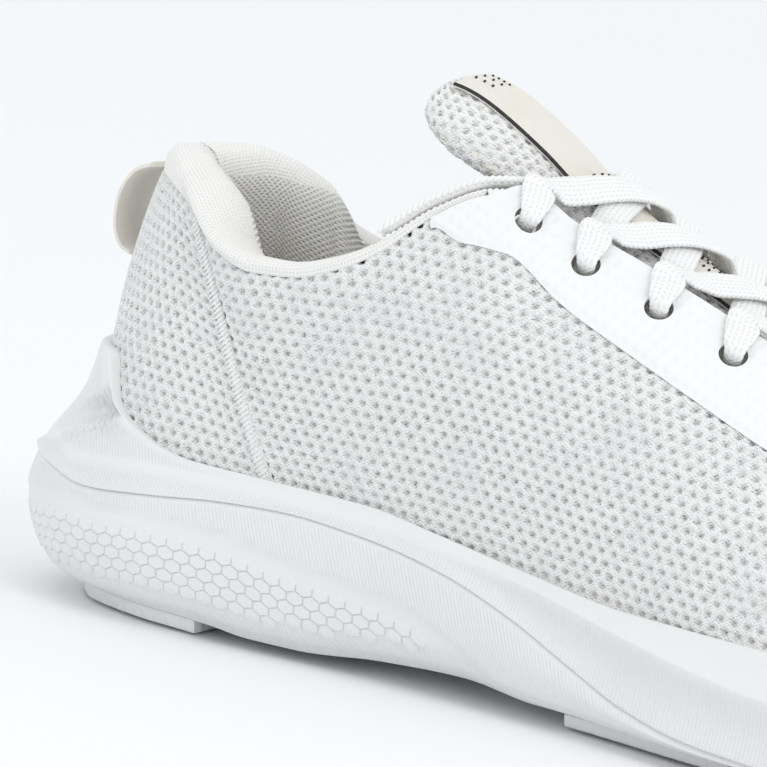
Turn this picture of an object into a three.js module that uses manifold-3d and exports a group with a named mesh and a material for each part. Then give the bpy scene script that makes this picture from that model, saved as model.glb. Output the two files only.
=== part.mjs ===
// Low-cut mesh running shoe for the right foot, laced with its lace ends tucked inside.
// Units are millimetres. The design frame has X from the heel back to the toe tip, Y to the
// medial (inner) side, Z up from the ground. The exported group is shifted so that its origin
// is the bottom centre of its bounding box.
import * as THREE from 'three';
import Module from 'manifold-3d';

const wasm = await Module();
wasm.setup();

// ---------------------------------------------------------------- driving dimensions
const GAP = 0.3;                 // clearance kept between touching pieces
const LATERAL = -1;              // outer side of the foot
const MEDIAL = 1;                // inner side of the foot

const SOLE_LIP_BACKSET = 3.2;    // from the rim's outer edge to the upper's feather line
const UPPER_FOOT_LIFT = 0.5;     // the upper starts this far above the footbed
const PLATE_INSET = 13;          // where the carrier's plate starts, inside the sole's outline
const PLATE_THICKNESS = 5;       // carrier foam under the footbed, over the core

const RUBBER_THICKNESS = 2.7;
const FLEX_GROOVE = 3;           // gap between two forefoot rubber pods

const BOARD_THICKNESS = 1.4;
const INSOLE_THICKNESS = 4.6;
const TOP_CLOTH_THICKNESS = 0.8;
const INSOLE_CLEARANCE = 1.2;    // between the insole's edge and the lining
const INSOLE_HEEL_RISE = 1.5;    // the insole is this much thicker at the heel

const MESH_THICKNESS = 1.4;
const STIFFENER_DEPTH = MESH_THICKNESS + GAP;
const COUNTER_THICKNESS = 1.3;
const PUFF_THICKNESS = 0.8;
const EYESTAY_THICKNESS = 0.8;
const FILM_THICKNESS = 0.6;
const LINING_THICKNESS = 0.7;
const LINING_DEPTH = 3.3;        // from the mesh's outer face to the lining's outer face

const EYELET_PAIRS = 6;
const EYELET_RADIUS = 2.9;
const EYELET_SETBACK = 7.2;      // from the throat edge to the eyelet's centre
const EYELET_TOP_X = [110.5, 124, 140.5, 157, 173, 188];

const TONGUE_CENTRE = 4.5;        // the tongue sits a little to the medial side
const TONGUE_CLOTH = 1.1;
const LABEL_HALF_WIDTH = 10.5;
const LABEL_THICKNESS = 0.6;

const LACE_WIDTH = 7;
const LACE_THICKNESS = 1.4;
const LACE_WIDTH_IN_HOLE = 3.6;
const LACE_THICKNESS_IN_HOLE = 2.4;
const AGLET_LENGTH = 20;
const AGLET_RADIUS = 1.7;

const TAB_WIDTH = 16;
const TAB_THICKNESS = 1.3;

// Plan outline of the sole at its widest level, from the heel back to the toe tip.
const HEEL_BACK = [0.5, 0];
const TOE_TIP = [298, 6];
const LATERAL_OUTLINE = [
  [2.5, -14], [8.5, -26], [20, -36.5], [40, -42], [70, -41.3], [105, -40.3], [140, -43.5],
  [170, -49], [197, -52], [227, -50.5], [255, -43.5], [277, -31.5], [291, -15],
];
const MEDIAL_OUTLINE = [
  [2.5, 14], [8.5, 26], [20, 36], [40, 40], [70, 36.5], [105, 34], [140, 37.5],
  [170, 43.5], [200, 48.5], [227, 50], [255, 47], [278, 38.5], [292, 25],
];

// ---------------------------------------------------------------- small maths helpers
const mix = (a, b, t) => a + (b - a) * t;
const clamp = (t, low, high) => Math.min(Math.max(t, low), high);
const radians = (degrees) => (degrees * Math.PI) / 180;
const vec = (x, y, z) => new THREE.Vector3(x, y, z);

function smooth(low, high, t) {
  const k = clamp((t - low) / (high - low), 0, 1);
  return k * k * (3 - 2 * k);
}

// A smooth function through [position, value] keys that never overshoots between them.
function track(...keys) {
  const steps = keys.slice(1).map((key, i) => (key[1] - keys[i][1]) / (key[0] - keys[i][0]));
  const slopes = keys.map((key, i) => {
    if (i === 0) return steps[0];
    if (i === keys.length - 1) return steps[i - 1];
    if (steps[i - 1] * steps[i] <= 0) return 0;
    return (2 * steps[i - 1] * steps[i]) / (steps[i - 1] + steps[i]);
  });
  return (t) => {
    const x = clamp(t, keys[0][0], keys.at(-1)[0]);
    let i = keys.length - 2;
    while (i > 0 && x < keys[i][0]) i -= 1;
    const width = keys[i + 1][0] - keys[i][0];
    const k = (x - keys[i][0]) / width;
    const h00 = (1 + 2 * k) * (1 - k) * (1 - k);
    const h10 = k * (1 - k) * (1 - k);
    const h01 = k * k * (3 - 2 * k);
    const h11 = k * k * (k - 1);
    return h00 * keys[i][1] + h10 * width * slopes[i]
      + h01 * keys[i + 1][1] + h11 * width * slopes[i + 1];
  };
}

// ---------------------------------------------------------------- outline of the sole
function makeHalfOutline(side) {
  const own = side === LATERAL ? LATERAL_OUTLINE : MEDIAL_OUTLINE;
  const other = side === LATERAL ? MEDIAL_OUTLINE : LATERAL_OUTLINE;
  const ring = [HEEL_BACK, ...own, TOE_TIP, ...[...other].reverse()];
  const points = ring.map(([x, y]) => vec(x, y, 0));
  const curve = new THREE.CatmullRomCurve3(points, true, 'centripetal');
  const samples = 400;
  const half = (own.length + 1) / ring.length;
  const rows = [];
  let length = 0;
  let last = null;
  for (let i = 0; i <= samples; i += 1) {
    const t = (half * i) / samples;
    const point = curve.getPoint(t);
    const along = curve.getTangent(t);
    if (last) length += point.distanceTo(last);
    last = point;
    rows.push({ s: length, x: point.x, y: point.y, nx: side * -along.y, ny: side * along.x });
  }
  return { rows, length };
}

const OUTLINE = { [LATERAL]: makeHalfOutline(LATERAL), [MEDIAL]: makeHalfOutline(MEDIAL) };

// q runs along a half outline by arc length: 0 at the heel back, 1 at the toe tip.
function outlineAt(side, q) {
  const { rows, length } = OUTLINE[side];
  const s = clamp(q, 0, 1) * length;
  let low = 0;
  let high = rows.length - 1;
  while (high - low > 1) {
    const middle = (low + high) >> 1;
    if (rows[middle].s <= s) low = middle;
    else high = middle;
  }
  const k = (s - rows[low].s) / (rows[high].s - rows[low].s || 1);
  const out = vec(mix(rows[low].nx, rows[high].nx, k), mix(rows[low].ny, rows[high].ny, k), 0);
  out.normalize();
  if (q <= 0) out.set(-1, 0, 0);
  if (q >= 1) out.set(1, 0, 0);
  return { x: mix(rows[low].x, rows[high].x, k), y: mix(rows[low].y, rows[high].y, k), out, q };
}

// The arc position on the lateral half where the outline reaches x.
function qOf(x) {
  const { rows, length } = OUTLINE[LATERAL];
  const row = rows.find((r) => r.x >= x) ?? rows.at(-1);
  return x <= HEEL_BACK[0] ? 0 : row.s / length;
}

const inset = (o, distance, z) => vec(o.x - o.out.x * distance, o.y - o.out.y * distance, z);

// ---------------------------------------------------------------- sole levels along its length
const rimTop = track([0, 52.5], [20, 52.5], [23, 51.6], [25.5, 47.5], [28.5, 43], [33, 40.3],
  [38, 38.3], [44, 36.5], [52, 35], [68, 34.5], [92, 33.8], [108, 31.4], [128, 28.4],
  [152, 25.9], [185, 25.8], [240, 26.3], [270, 28], [298, 31]);
const ridgeLevel = track([0, 32.2], [16, 32.2], [24, 30], [39, 31.2], [60, 31.8], [80, 31.5],
  [100, 30.2], [117, 28], [133, 25.9], [149, 23], [167, 19.8], [188, 17.3], [225, 16.6],
  [260, 18.5], [298, 25]);
const partingLevel = track([0, 28.2], [16, 26.9], [28, 25], [46, 26.6], [63, 28.5], [77, 29.1],
  [95, 27.6], [112, 24.5], [130, 18.7], [143, 13.2], [157, 8], [172, 5.1], [192, 4]);
const footbedLevel = track([0, 25.5], [45, 25], [80, 24], [120, 20.5], [160, 16.5], [200, 14],
  [232, 13.8], [262, 16], [298, 20]);
const foamBottom = track([0, 3], [50, 3], [60, 2.6], [70, 1.6], [80, 1.6], [100, 3.5],
  [118, 4.4], [134, 3], [222, 3], [245, 4.4], [265, 7.4], [285, 12.5], [298, 16.5]);
const rimInset = track([0, 12.6], [4, 12.2], [20, 9], [32, 6.4], [50, 5.1], [290, 5], [298, 5]);
const shoulderInset = track([0, 9.4], [8, 9], [24, 6.8], [40, 4.8], [110, 4.4], [150, 3], [298, 3]);
const ridgeInset = track([0, 3.6], [20, 3.4], [50, 3.6], [110, 3.6], [150, 1.0], [298, 1.0]);
const waistInset = track([0, 2.5], [50, 3.0], [110, 3.2], [150, 3.0], [200, 2.8], [298, 2.8]);
const partingInset = track([0, 1.2], [50, 1.6], [110, 1.6], [160, 1.6], [298, 2.4]);
// Between the cup's inner wall and the upper: wider where the rim drops away in front of the heel.
const cupClearance = track([0, 0.8], [14, 0.9], [21, 1.5], [32, 1.3], [45, 0.8]);
const CORE_STEP = 0.9;           // the carrier overhangs the core by this much
const coreBulge = track([0, 0], [50, 0.4], [192, 1.6]);
const coreLow = track([0, 3], [30, 2.2], [60, 1.6], [192, 2.6]);
const coreFoot = track([0, 7.2], [30, 5], [60, 3.6], [192, 4]);
const bottomInset = track([0, 14], [25, 11], [60, 7], [298, 7.5]);
const CORE_END_X = 192;
const TWIST_CLEARANCE = 2.1;     // more room where the parting surface twists

const featherInset = (x) => rimInset(x) + SOLE_LIP_BACKSET;
const coreTop = (x) => Math.min(partingLevel(x), footbedLevel(x) - PLATE_THICKNESS);
const underside = (x) => (x < CORE_END_X ? coreTop(x) + GAP : mix(coreTop(CORE_END_X) + GAP,
  foamBottom(x), smooth(CORE_END_X, CORE_END_X + 16, x)));

// ---------------------------------------------------------------- mesh helpers
function signedVolume(positions, triangles) {
  let sum = 0;
  const a = vec(0, 0, 0);
  for (const [i, j, k] of triangles) {
    a.copy(positions[i]).cross(positions[j]);
    sum += a.dot(positions[k]);
  }
  return sum / 6;
}

// Merges equal corners, drops empty triangles and turns every face outwards.
function closedMesh(positions, triangles) {
  const index = new Map();
  const merged = [];
  const rename = positions.map((p) => {
    const key = `${Math.round(p.x * 2e3)},${Math.round(p.y * 2e3)},${Math.round(p.z * 2e3)}`;
    if (!index.has(key)) {
      index.set(key, merged.length);
      merged.push(p);
    }
    return index.get(key);
  });
  const kept = [];
  for (const triangle of triangles) {
    const [a, b, c] = triangle.map((i) => rename[i]);
    if (a !== b && b !== c && c !== a) kept.push([a, b, c]);
  }
  if (signedVolume(merged, kept) < 0) kept.forEach((triangle) => triangle.reverse());
  return { positions: merged, triangles: kept };
}

// Joins a row of closed loops (arrays of equal length) into a solid. Loops that fold flat on
// themselves, as at the heel back and the toe tip, need no cap.
function loft(loops, capStart = false, capEnd = false) {
  const positions = loops.flat();
  const count = loops[0].length;
  const triangles = [];
  for (let i = 0; i < loops.length - 1; i += 1) {
    for (let k = 0; k < count; k += 1) {
      const next = (k + 1) % count;
      const a = i * count + k;
      const b = i * count + next;
      triangles.push([a, b, b + count], [a, b + count, a + count]);
    }
  }
  const cap = (row, flip) => {
    const centre = vec(0, 0, 0);
    loops[row].forEach((p) => centre.addScaledVector(p, 1 / count));
    positions.push(centre);
    const c = positions.length - 1;
    for (let k = 0; k < count; k += 1) {
      const a = row * count + k;
      const b = row * count + ((k + 1) % count);
      triangles.push(flip ? [b, a, c] : [a, b, c]);
    }
  };
  if (capStart) cap(0, true);
  if (capEnd) cap(loops.length - 1, false);
  return closedMesh(positions, triangles);
}

// Gives a sheet its thickness. Each panel is a grid of { outer, inner } corners. Panels that
// share an edge are welded there, and every open edge gets a wall.
function sheet(panels) {
  const index = new Map();
  const outer = [];
  const inner = [];
  const faces = [];
  const corner = (p) => {
    const { x, y, z } = p.outer;
    const key = `${Math.round(x * 1e3)},${Math.round(y * 1e3)},${Math.round(z * 1e3)}`;
    if (!index.has(key)) {
      index.set(key, outer.length);
      outer.push(p.outer);
      inner.push(p.inner);
    }
    return index.get(key);
  };
  for (const { grid, flip } of panels) {
    for (let i = 0; i < grid.length - 1; i += 1) {
      for (let j = 0; j < grid[i].length - 1; j += 1) {
        const a = corner(grid[i][j]);
        const b = corner(grid[i + 1][j]);
        const c = corner(grid[i + 1][j + 1]);
        const d = corner(grid[i][j + 1]);
        const pair = [[a, b, c], [a, c, d]].filter((f) => new Set(f).size === 3);
        pair.forEach((f) => faces.push(flip ? [...f].reverse() : f));
      }
    }
  }
  const used = new Set();
  faces.forEach(([a, b, c]) => [[a, b], [b, c], [c, a]].forEach((e) => used.add(e.join())));
  const lift = outer.length;
  const triangles = [...faces, ...faces.map(([a, b, c]) => [c + lift, b + lift, a + lift])];
  for (const edge of used) {
    const [a, b] = edge.split(',').map(Number);
    if (!used.has(`${b},${a}`)) triangles.push([b, a, a + lift], [b, a + lift, b + lift]);
  }
  return closedMesh([...outer, ...inner], triangles);
}

// Subtracts closed meshes from a closed mesh.
function toManifold({ positions, triangles }) {
  const vertProperties = new Float32Array(positions.flatMap((p) => [p.x, p.y, p.z]));
  const triVerts = new Uint32Array(triangles.flat());
  return new wasm.Manifold(new wasm.Mesh({ numProp: 3, vertProperties, triVerts }));
}

function cut(body, tools) {
  let result = toManifold(body);
  tools.forEach((tool) => { result = result.subtract(toManifold(tool)); });
  const mesh = result.getMesh();
  const positions = [];
  for (let i = 0; i < mesh.vertProperties.length; i += mesh.numProp) {
    positions.push(vec(...mesh.vertProperties.slice(i, i + 3)));
  }
  const triangles = [];
  for (let i = 0; i < mesh.triVerts.length; i += 3) {
    triangles.push([...mesh.triVerts.slice(i, i + 3)]);
  }
  return { positions, triangles };
}

// ---------------------------------------------------------------- the shoe's materials
const LOOKS = {
  knit: { color: 0xf2f2f0, roughness: 0.9, metalness: 0 },
  lining: { color: 0xefece4, roughness: 0.95, metalness: 0 },
  foam: { color: 0xe9e6da, roughness: 0.95, metalness: 0 },
  film: { color: 0xf6f6f5, roughness: 0.45, metalness: 0 },
  midsole: { color: 0xf0f0ef, roughness: 0.6, metalness: 0 },
  rubber: { color: 0xe6e6e3, roughness: 0.7, metalness: 0 },
  board: { color: 0xd8d2c2, roughness: 0.9, metalness: 0 },
  tape: { color: 0xe9e2d2, roughness: 0.85, metalness: 0 },
  plastic: { color: 0xf4f4f2, roughness: 0.3, metalness: 0 },
};

const shoe = new THREE.Group();
const design = new THREE.Group();
shoe.add(design);

function addPart(name, look, { positions, triangles }) {
  const geometry = new THREE.BufferGeometry();
  const values = positions.flatMap((p) => [p.x, p.y, p.z]);
  geometry.setAttribute('position', new THREE.Float32BufferAttribute(values, 3));
  geometry.setIndex(triangles.flat());
  geometry.computeVertexNormals();
  const mesh = new THREE.Mesh(geometry, new THREE.MeshStandardMaterial(LOOKS[look]));
  mesh.name = name;
  design.add(mesh);
}

// ---------------------------------------------------------------- sole
const soleStations = (from, to, count) => Array.from({ length: count + 1 },
  (_, i) => mix(from, to, i / count));
const Q_CORE_END = qOf(CORE_END_X);
const CORE_STATIONS = soleStations(0, Q_CORE_END, 23);
const CARRIER_STATIONS = [...CORE_STATIONS, ...soleStations(Q_CORE_END, 1, 11).slice(1)];

// A loop across the sole: down the lateral wall, across below, up the medial wall, across above.
function crossLoop(q, wall, across) {
  const left = wall(outlineAt(LATERAL, q), LATERAL);
  const right = wall(outlineAt(MEDIAL, q), MEDIAL);
  const between = (a, b) => Array.from({ length: across - 1 },
    (_, i) => a.clone().lerp(b, (i + 1) / across));
  return [...left, ...between(left.at(-1), right.at(-1)), ...[...right].reverse(),
    ...between(right[0], left[0])];
}

// Lower edge of the carrier's side: the parting line over the core, then the foam's own edge.
const lipLevel = (x) => (x < CORE_END_X ? partingLevel(x) + GAP
  : underside(x) + smooth(CORE_END_X, CORE_END_X + 10, x));

function carrierWall(o, side) {
  const { x } = o;
  const wallHead = rimTop(x) - 0.4;
  const wallMiddle = mix(footbedLevel(x), wallHead, 0.5);
  return [
    inset(o, featherInset(x) - cupClearance(x), footbedLevel(x)),
    inset(o, upperInset(side, o, wallMiddle) - cupClearance(x), wallMiddle),
    inset(o, upperInset(side, o, wallHead) - cupClearance(x), wallHead),
    inset(o, rimInset(x), rimTop(x)),
    inset(o, shoulderInset(x), mix(rimTop(x), ridgeLevel(x), 0.55)),
    inset(o, ridgeInset(x), ridgeLevel(x)),
    inset(o, waistInset(x), mix(ridgeLevel(x), Math.max(partingLevel(x), 4), 0.5)),
    inset(o, partingInset(x), lipLevel(x)),
    inset(o, partingInset(x) + CORE_STEP, x < CORE_END_X ? lipLevel(x) : underside(x)),
    inset(o, PLATE_INSET, underside(x)),
  ];
}

function coreWall(o) {
  const { x } = o;
  const top = partingLevel(x);
  const base = foamBottom(x);
  return [
    inset(o, PLATE_INSET - GAP, coreTop(x) - TWIST_CLEARANCE),
    inset(o, partingInset(x) + CORE_STEP, top - GAP),
    inset(o, coreBulge(x), mix(top, base, 0.35)),
    inset(o, coreLow(x), mix(top, base, 0.7)),
    inset(o, coreFoot(x), mix(top, base, 0.9)),
    inset(o, bottomInset(x), base),
  ];
}

function rubberWall(o) {
  const { x } = o;
  const top = foamBottom(x) - GAP;
  return [
    inset(o, bottomInset(x) + 1, top),
    inset(o, bottomInset(x) + 1.8, top - RUBBER_THICKNESS),
  ];
}

function makeSole() {
  const whole = CARRIER_STATIONS.map((q) => crossLoop(q, carrierWall, 3));
  addPart('midsole_carrier', 'midsole', loft(whole));
  const core = CORE_STATIONS.map((q) => crossLoop(q, coreWall, 3));
  addPart('midsole_core', 'midsole', loft(core, false, true));
  const pods = [
    ['outsole_heel', 0, 56, 9, false],
    ['outsole_forefoot_rear', 139, 178, 4, true],
    ['outsole_forefoot_middle', 178 + FLEX_GROOVE, 220, 4, true],
    ['outsole_forefoot_front', 220 + FLEX_GROOVE, 250, 4, true],
    ['outsole_toe', 250 + FLEX_GROOVE, TOE_TIP[0], 8, true],
  ];
  for (const [name, from, to, count, capStart] of pods) {
    const stations = soleStations(qOf(from), to === TOE_TIP[0] ? 1 : qOf(to), count);
    const loops = stations.map((q) => crossLoop(q, rubberWall, 4));
    addPart(name, 'rubber', loft(loops, capStart, to !== TOE_TIP[0]));
  }
}

// Flat layers that lie on the footbed, one above another. The heel of the insole is moulded
// thicker by edgeRise, and the cloth above it follows.
function footbedLayer(edgeInset, lift, thickness, lowRise, highRise) {
  const wall = (o) => {
    const base = footbedLevel(o.x) + lift;
    const heel = 1 - smooth(60, 150, o.x);
    return [
      inset(o, edgeInset(o.x), base + thickness + highRise * heel),
      inset(o, edgeInset(o.x), base + lowRise * heel),
    ];
  };
  return loft(soleStations(0, 1, 26).map((q) => crossLoop(q, wall, 2)));
}

const liningInset = (x) => featherInset(x) + LINING_DEPTH + LINING_THICKNESS + 0.9;

function makeFootbed() {
  const boardLift = UPPER_FOOT_LIFT;
  addPart('strobel_board', 'board', footbedLayer(liningInset, boardLift, BOARD_THICKNESS, 0, 0));
  const insoleLift = boardLift + BOARD_THICKNESS + GAP;
  const insoleInset = (x) => liningInset(x) + INSOLE_CLEARANCE;
  addPart('insole_foam', 'foam',
    footbedLayer(insoleInset, insoleLift, INSOLE_THICKNESS, 0, INSOLE_HEEL_RISE));
  const clothLift = insoleLift + INSOLE_THICKNESS + GAP;
  addPart('insole_top_cloth', 'lining',
    footbedLayer(insoleInset, clothLift, TOP_CLOTH_THICKNESS, INSOLE_HEEL_RISE, INSOLE_HEEL_RISE));
}

// ---------------------------------------------------------------- upper surface
// Each rib runs from the feather line in the sole's cup up to the top line: collar rim, throat
// edge, then the ridge of the vamp. Columns: outline x at the foot; then at the top its x, half
// gap across the opening, centre y, height, and inward lean in degrees.
const RIBS = [
  [0.5, 21, 0, 0, 95, 20],
  [8, 22.3, 7, 0, 95.4, 19],
  [22, 25.5, 14, 0, 95.4, 16],
  [45, 31, 21, 0, 93.5, 12],
  [73, 38, 26.5, 0, 87, 9],
  [80, 46, 30.5, 0, 80.8, 8],
  [87, 56, 33, 0, 78, 8],
  [94, 66, 33.5, 0, 78.4, 10],
  [101, 76, 33.3, 0.3, 81.3, 13],
  [108, 85, 32.5, 1, 86.3, 18],
  [116, 93.5, 29.5, 2, 94, 26],
  [124, 102.3, 25.5, 3, 99.2, 36],
  [130, 108, 22.5, 3.6, 100, 42],
  [135, 112.5, 20.5, 4, 98, 44],
  [141, 119, 20, 4, 94.4, 45],
  [154, 135, 19, 4, 88.7, 45],
  [171, 154, 18, 4, 81.6, 46],
  [190, 175, 16, 4, 73, 50],
  [207, 193, 12.5, 4, 65.4, 58],
  [214, 199, 7, 4, 62.6, 70],
  [219, 201.5, 0, 4, 61.3, 80],
  [236, 215, 0, 5, 56.8, 80],
  [255, 232, 0, 6, 52.4, 80],
  [275, 248, 0, 7, 48.8, 80],
  [298, 262, 0, 8, 45.5, 80],
];
const SEAM_RIB = 4;
const THROAT_CORNER_RIB = 11;
const THROAT_END_RIB = 20;
const RIDGE_SLOPE = radians(14);
const RIDGE_TURN = 0.965;

const ribQ = RIBS.map(([foot]) => (foot >= TOE_TIP[0] ? 1 : qOf(foot)));
const ribTrack = (column) => track(...RIBS.map((rib, i) => [ribQ[i], rib[column]]));
const topX = ribTrack(1);
const topGap = ribTrack(2);
const topCentre = ribTrack(3);
const topZ = ribTrack(4);
const topLean = ribTrack(5);
const Q_SEAM = ribQ[SEAM_RIB];
const Q_CORNER = ribQ[THROAT_CORNER_RIB];
const Q_THROAT_END = ribQ[THROAT_END_RIB];
// Bezier handle lengths, as parts of the rib's chord: fuller over the toe box.
const handleFoot = track([0, 0.36], [0.45, 0.36], [0.75, 0.42], [1, 0.5]);
const handleTop = track([0, 0.36], [ribQ[THROAT_END_RIB - 2], 0.36], [ribQ[THROAT_END_RIB + 1], 0.5],
  [1, 0.62]);
const footLean = track([0, 3], [0.15, 5], [0.3, 6], [1, 6]);

const topPoint = (side, q) => vec(topX(q), topCentre(q) + side * topGap(q), topZ(q));

function rib(side, q) {
  const o = outlineAt(side, q);
  const foot = inset(o, featherInset(o.x), footbedLevel(o.x) + UPPER_FOOT_LIFT);
  const top = topPoint(side, q);
  const chord = top.clone().sub(foot);
  const reach = chord.length();
  const along = chord.clone().addScaledVector(o.out, -chord.dot(o.out)).normalize();
  const lift = radians(footLean(q));
  const rise = along.clone().multiplyScalar(Math.cos(lift)).addScaledVector(o.out, Math.sin(lift));
  const lean = radians(topLean(q));
  const arrive = along.clone().multiplyScalar(Math.cos(lean))
    .addScaledVector(o.out, -Math.sin(lean));
  const swing = smooth(Q_THROAT_END, 1, q) * (Math.PI / 2);
  const overRidge = vec(-Math.cos(RIDGE_SLOPE) * Math.sin(swing), -side * Math.cos(swing),
    Math.sin(RIDGE_SLOPE) * Math.sin(swing));
  arrive.lerp(overRidge, smooth(ribQ[THROAT_END_RIB - 3], Q_THROAT_END, q)).normalize();
  return {
    foot,
    low: foot.clone().addScaledVector(rise, reach * handleFoot(q)),
    high: top.clone().addScaledVector(arrive, -reach * handleTop(q)),
    top,
    reach: reach * 1.03,
  };
}

function ribPoint({ foot, low, high, top }, v) {
  const w = 1 - v;
  return vec(0, 0, 0).addScaledVector(foot, w * w * w).addScaledVector(low, 3 * w * w * v)
    .addScaledVector(high, 3 * w * v * v).addScaledVector(top, v * v * v);
}

const upperPoint = (side, q, v) => ribPoint(rib(side, q), v);

// How far inside the sole's outline the upper stands at a height above the ground.
function upperInset(side, o, height) {
  const line = rib(side, o.q);
  let v = 0;
  while (ribPoint(line, v).z < height && v < 0.9) v += 0.005;
  return vec(o.x, o.y, height).sub(ribPoint(line, v)).dot(o.out);
}

function ownNormal(side, q, v) {
  const dq = 0.004;
  const dv = 0.01;
  const q0 = Math.max(q - dq, 0);
  const q1 = Math.min(q + dq, 1);
  const v0 = clamp(v - dv, 0, 1);
  const v1 = clamp(v + dv, 0, 1);
  const alongQ = upperPoint(side, q1, v).sub(upperPoint(side, q0, v));
  const alongV = upperPoint(side, q, v1).sub(upperPoint(side, q, v0));
  return alongQ.cross(alongV).multiplyScalar(-side).normalize();
}

// Outward normal, shared by both sides where they meet. Just behind the toe the ribs run along
// the ridge itself, so the ridge's normal there is taken a little further back.
function upperNormal(side, q, v) {
  if (v > 0.96 && q > RIDGE_TURN) return upperNormal(side, RIDGE_TURN, 1);
  const normal = ownNormal(side, q, v);
  const shared = q <= 0 || q >= 1 || (v >= 1 && q >= Q_THROAT_END);
  if (shared) normal.add(ownNormal(-side, q, v)).normalize();
  return normal;
}

const onUpper = (side, q, v, depth) => upperPoint(side, q, v)
  .addScaledVector(upperNormal(side, q, v), -depth);

// The height along a rib, in mm below its top, as a fraction of the rib.
const below = (side, q, distance) => 1 - distance / rib(side, q).reach;

// Stations along the upper between two arc positions, through the ribs that lie between.
function upperStations(from, to, spacing = 0.034) {
  const inner = ribQ.filter((q) => q > from + 0.004 && q < to - 0.004);
  const marks = [from, ...inner, to];
  const stations = [from];
  for (let i = 1; i < marks.length; i += 1) {
    const steps = Math.max(1, Math.round((marks[i] - marks[i - 1]) / spacing));
    for (let k = 1; k <= steps; k += 1) stations.push(mix(marks[i - 1], marks[i], k / steps));
  }
  return stations;
}

// A layer of the upper. Its height lines are rib fractions, so that layers built on the same
// lines have parallel facets; depth is from the mesh's outer face to the layer's outer face.
function upperLayer({ sides, stations, lines, depth, thickness }) {
  const panels = sides.map((side) => ({
    flip: side === MEDIAL,
    grid: stations.map((q) => lines(side, q).map((v) => ({
      outer: onUpper(side, q, v, depth),
      inner: onUpper(side, q, v, depth + thickness),
    }))),
  }));
  return sheet(panels);
}

const spread = (low, high, steps) => Array.from({ length: steps + 1 },
  (_, i) => mix(low, high, i / steps));

const BOTH = [LATERAL, MEDIAL];
const always = (value) => () => value;

// Where the outer mesh stops at the collar, in mm below the rim: the lining rolls over it there.
const rollDepth = track([0, 7], [ribQ[3], 7], [ribQ[5], 4.5], [ribQ[9], 3], [Q_CORNER, 2.4]);
const meshTop = (side, q) => (q <= Q_CORNER ? below(side, q, rollDepth(q) + GAP)
  : mix(below(side, q, rollDepth(Q_CORNER) + GAP), 1, smooth(Q_CORNER, Q_CORNER + 0.02, q)));

// The film over the eyestay is this wide below the throat edge. The same line, carried on
// round the heel and the toe, divides the upper's height lines into a lower and a top group.
const filmWidth = track([0, 24], [ribQ[8], 18], [ribQ[10], 11], [ribQ[12], 16], [ribQ[15], 20],
  [ribQ[17], 22], [Q_THROAT_END, 22], [ribQ[21], 16], [1, 14]);
const filmEdge = (side, q) => below(side, q, filmWidth(q));
const LOW_STEPS = 4;
const TOP_STEPS = 3;
const lowLines = (side, q) => spread(0, filmEdge(side, q), LOW_STEPS);
const topLines = (side, q) => spread(filmEdge(side, q), meshTop(side, q), TOP_STEPS);
const allLines = (side, q) => [...lowLines(side, q), ...topLines(side, q).slice(1)];

// ---------------------------------------------------------------- eyelets
const qAtTopX = (x) => {
  let low = 0;
  let high = 1;
  for (let i = 0; i < 40; i += 1) {
    const middle = (low + high) / 2;
    if (topX(middle) < x) low = middle;
    else high = middle;
  }
  return low;
};

function makeEyelet(side, number) {
  const q = qAtTopX(EYELET_TOP_X[number]);
  const v = below(side, q, EYELET_SETBACK);
  const normal = upperNormal(side, q, v);
  const centre = upperPoint(side, q, v);
  const edge = topPoint(side, q);
  const inward = edge.clone().sub(centre).normalize();
  return { side, number, q, v, centre, normal, inward, edge };
}

const EYELETS = { [LATERAL]: [], [MEDIAL]: [] };
for (const side of BOTH) {
  for (let i = 0; i < EYELET_PAIRS; i += 1) EYELETS[side].push(makeEyelet(side, i));
}

function eyeletPunch({ centre, normal }) {
  const across = vec(1, 0, 0).cross(normal).normalize();
  const along = normal.clone().cross(across);
  const ring = (height) => Array.from({ length: 8 }, (_, i) => {
    const angle = (i / 8) * 2 * Math.PI;
    return centre.clone().addScaledVector(normal, height)
      .addScaledVector(across, EYELET_RADIUS * Math.cos(angle))
      .addScaledVector(along, EYELET_RADIUS * Math.sin(angle));
  });
  return loft([ring(-5), ring(3)], true, true);
}

const PUNCHES = BOTH.flatMap((side) => EYELETS[side].map(eyeletPunch));

// ---------------------------------------------------------------- upper pieces
const FILM_START = ribQ[10];
const FILM_END = ribQ[21];
const STAY_START = Q_CORNER + 0.003;
const PUFF_START = ribQ[23];
const rimFraction = (side, q) => {
  const o = outlineAt(side, q);
  const line = rib(side, q);
  let v = 0;
  while (ribPoint(line, v).z < rimTop(o.x) + 1.5 && v < 0.9) v += 0.01;
  return v;
};

// The lower lining stops where the collar's padding starts, and below the eyestay.
const padReach = track([0, 38], [ribQ[4], 34], [ribQ[8], 26], [Q_CORNER, 20]);
function liningTop(side, q) {
  const collar = below(side, q, padReach(q) + 1.2);
  const throat = below(side, q, filmWidth(Math.max(q, ribQ[12])) + 3);
  const front = mix(collar, throat, smooth(ribQ[10], ribQ[12], q));
  return q < Q_THROAT_END ? front : mix(front, 1, smooth(FILM_END, FILM_END + 0.004, q));
}

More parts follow.
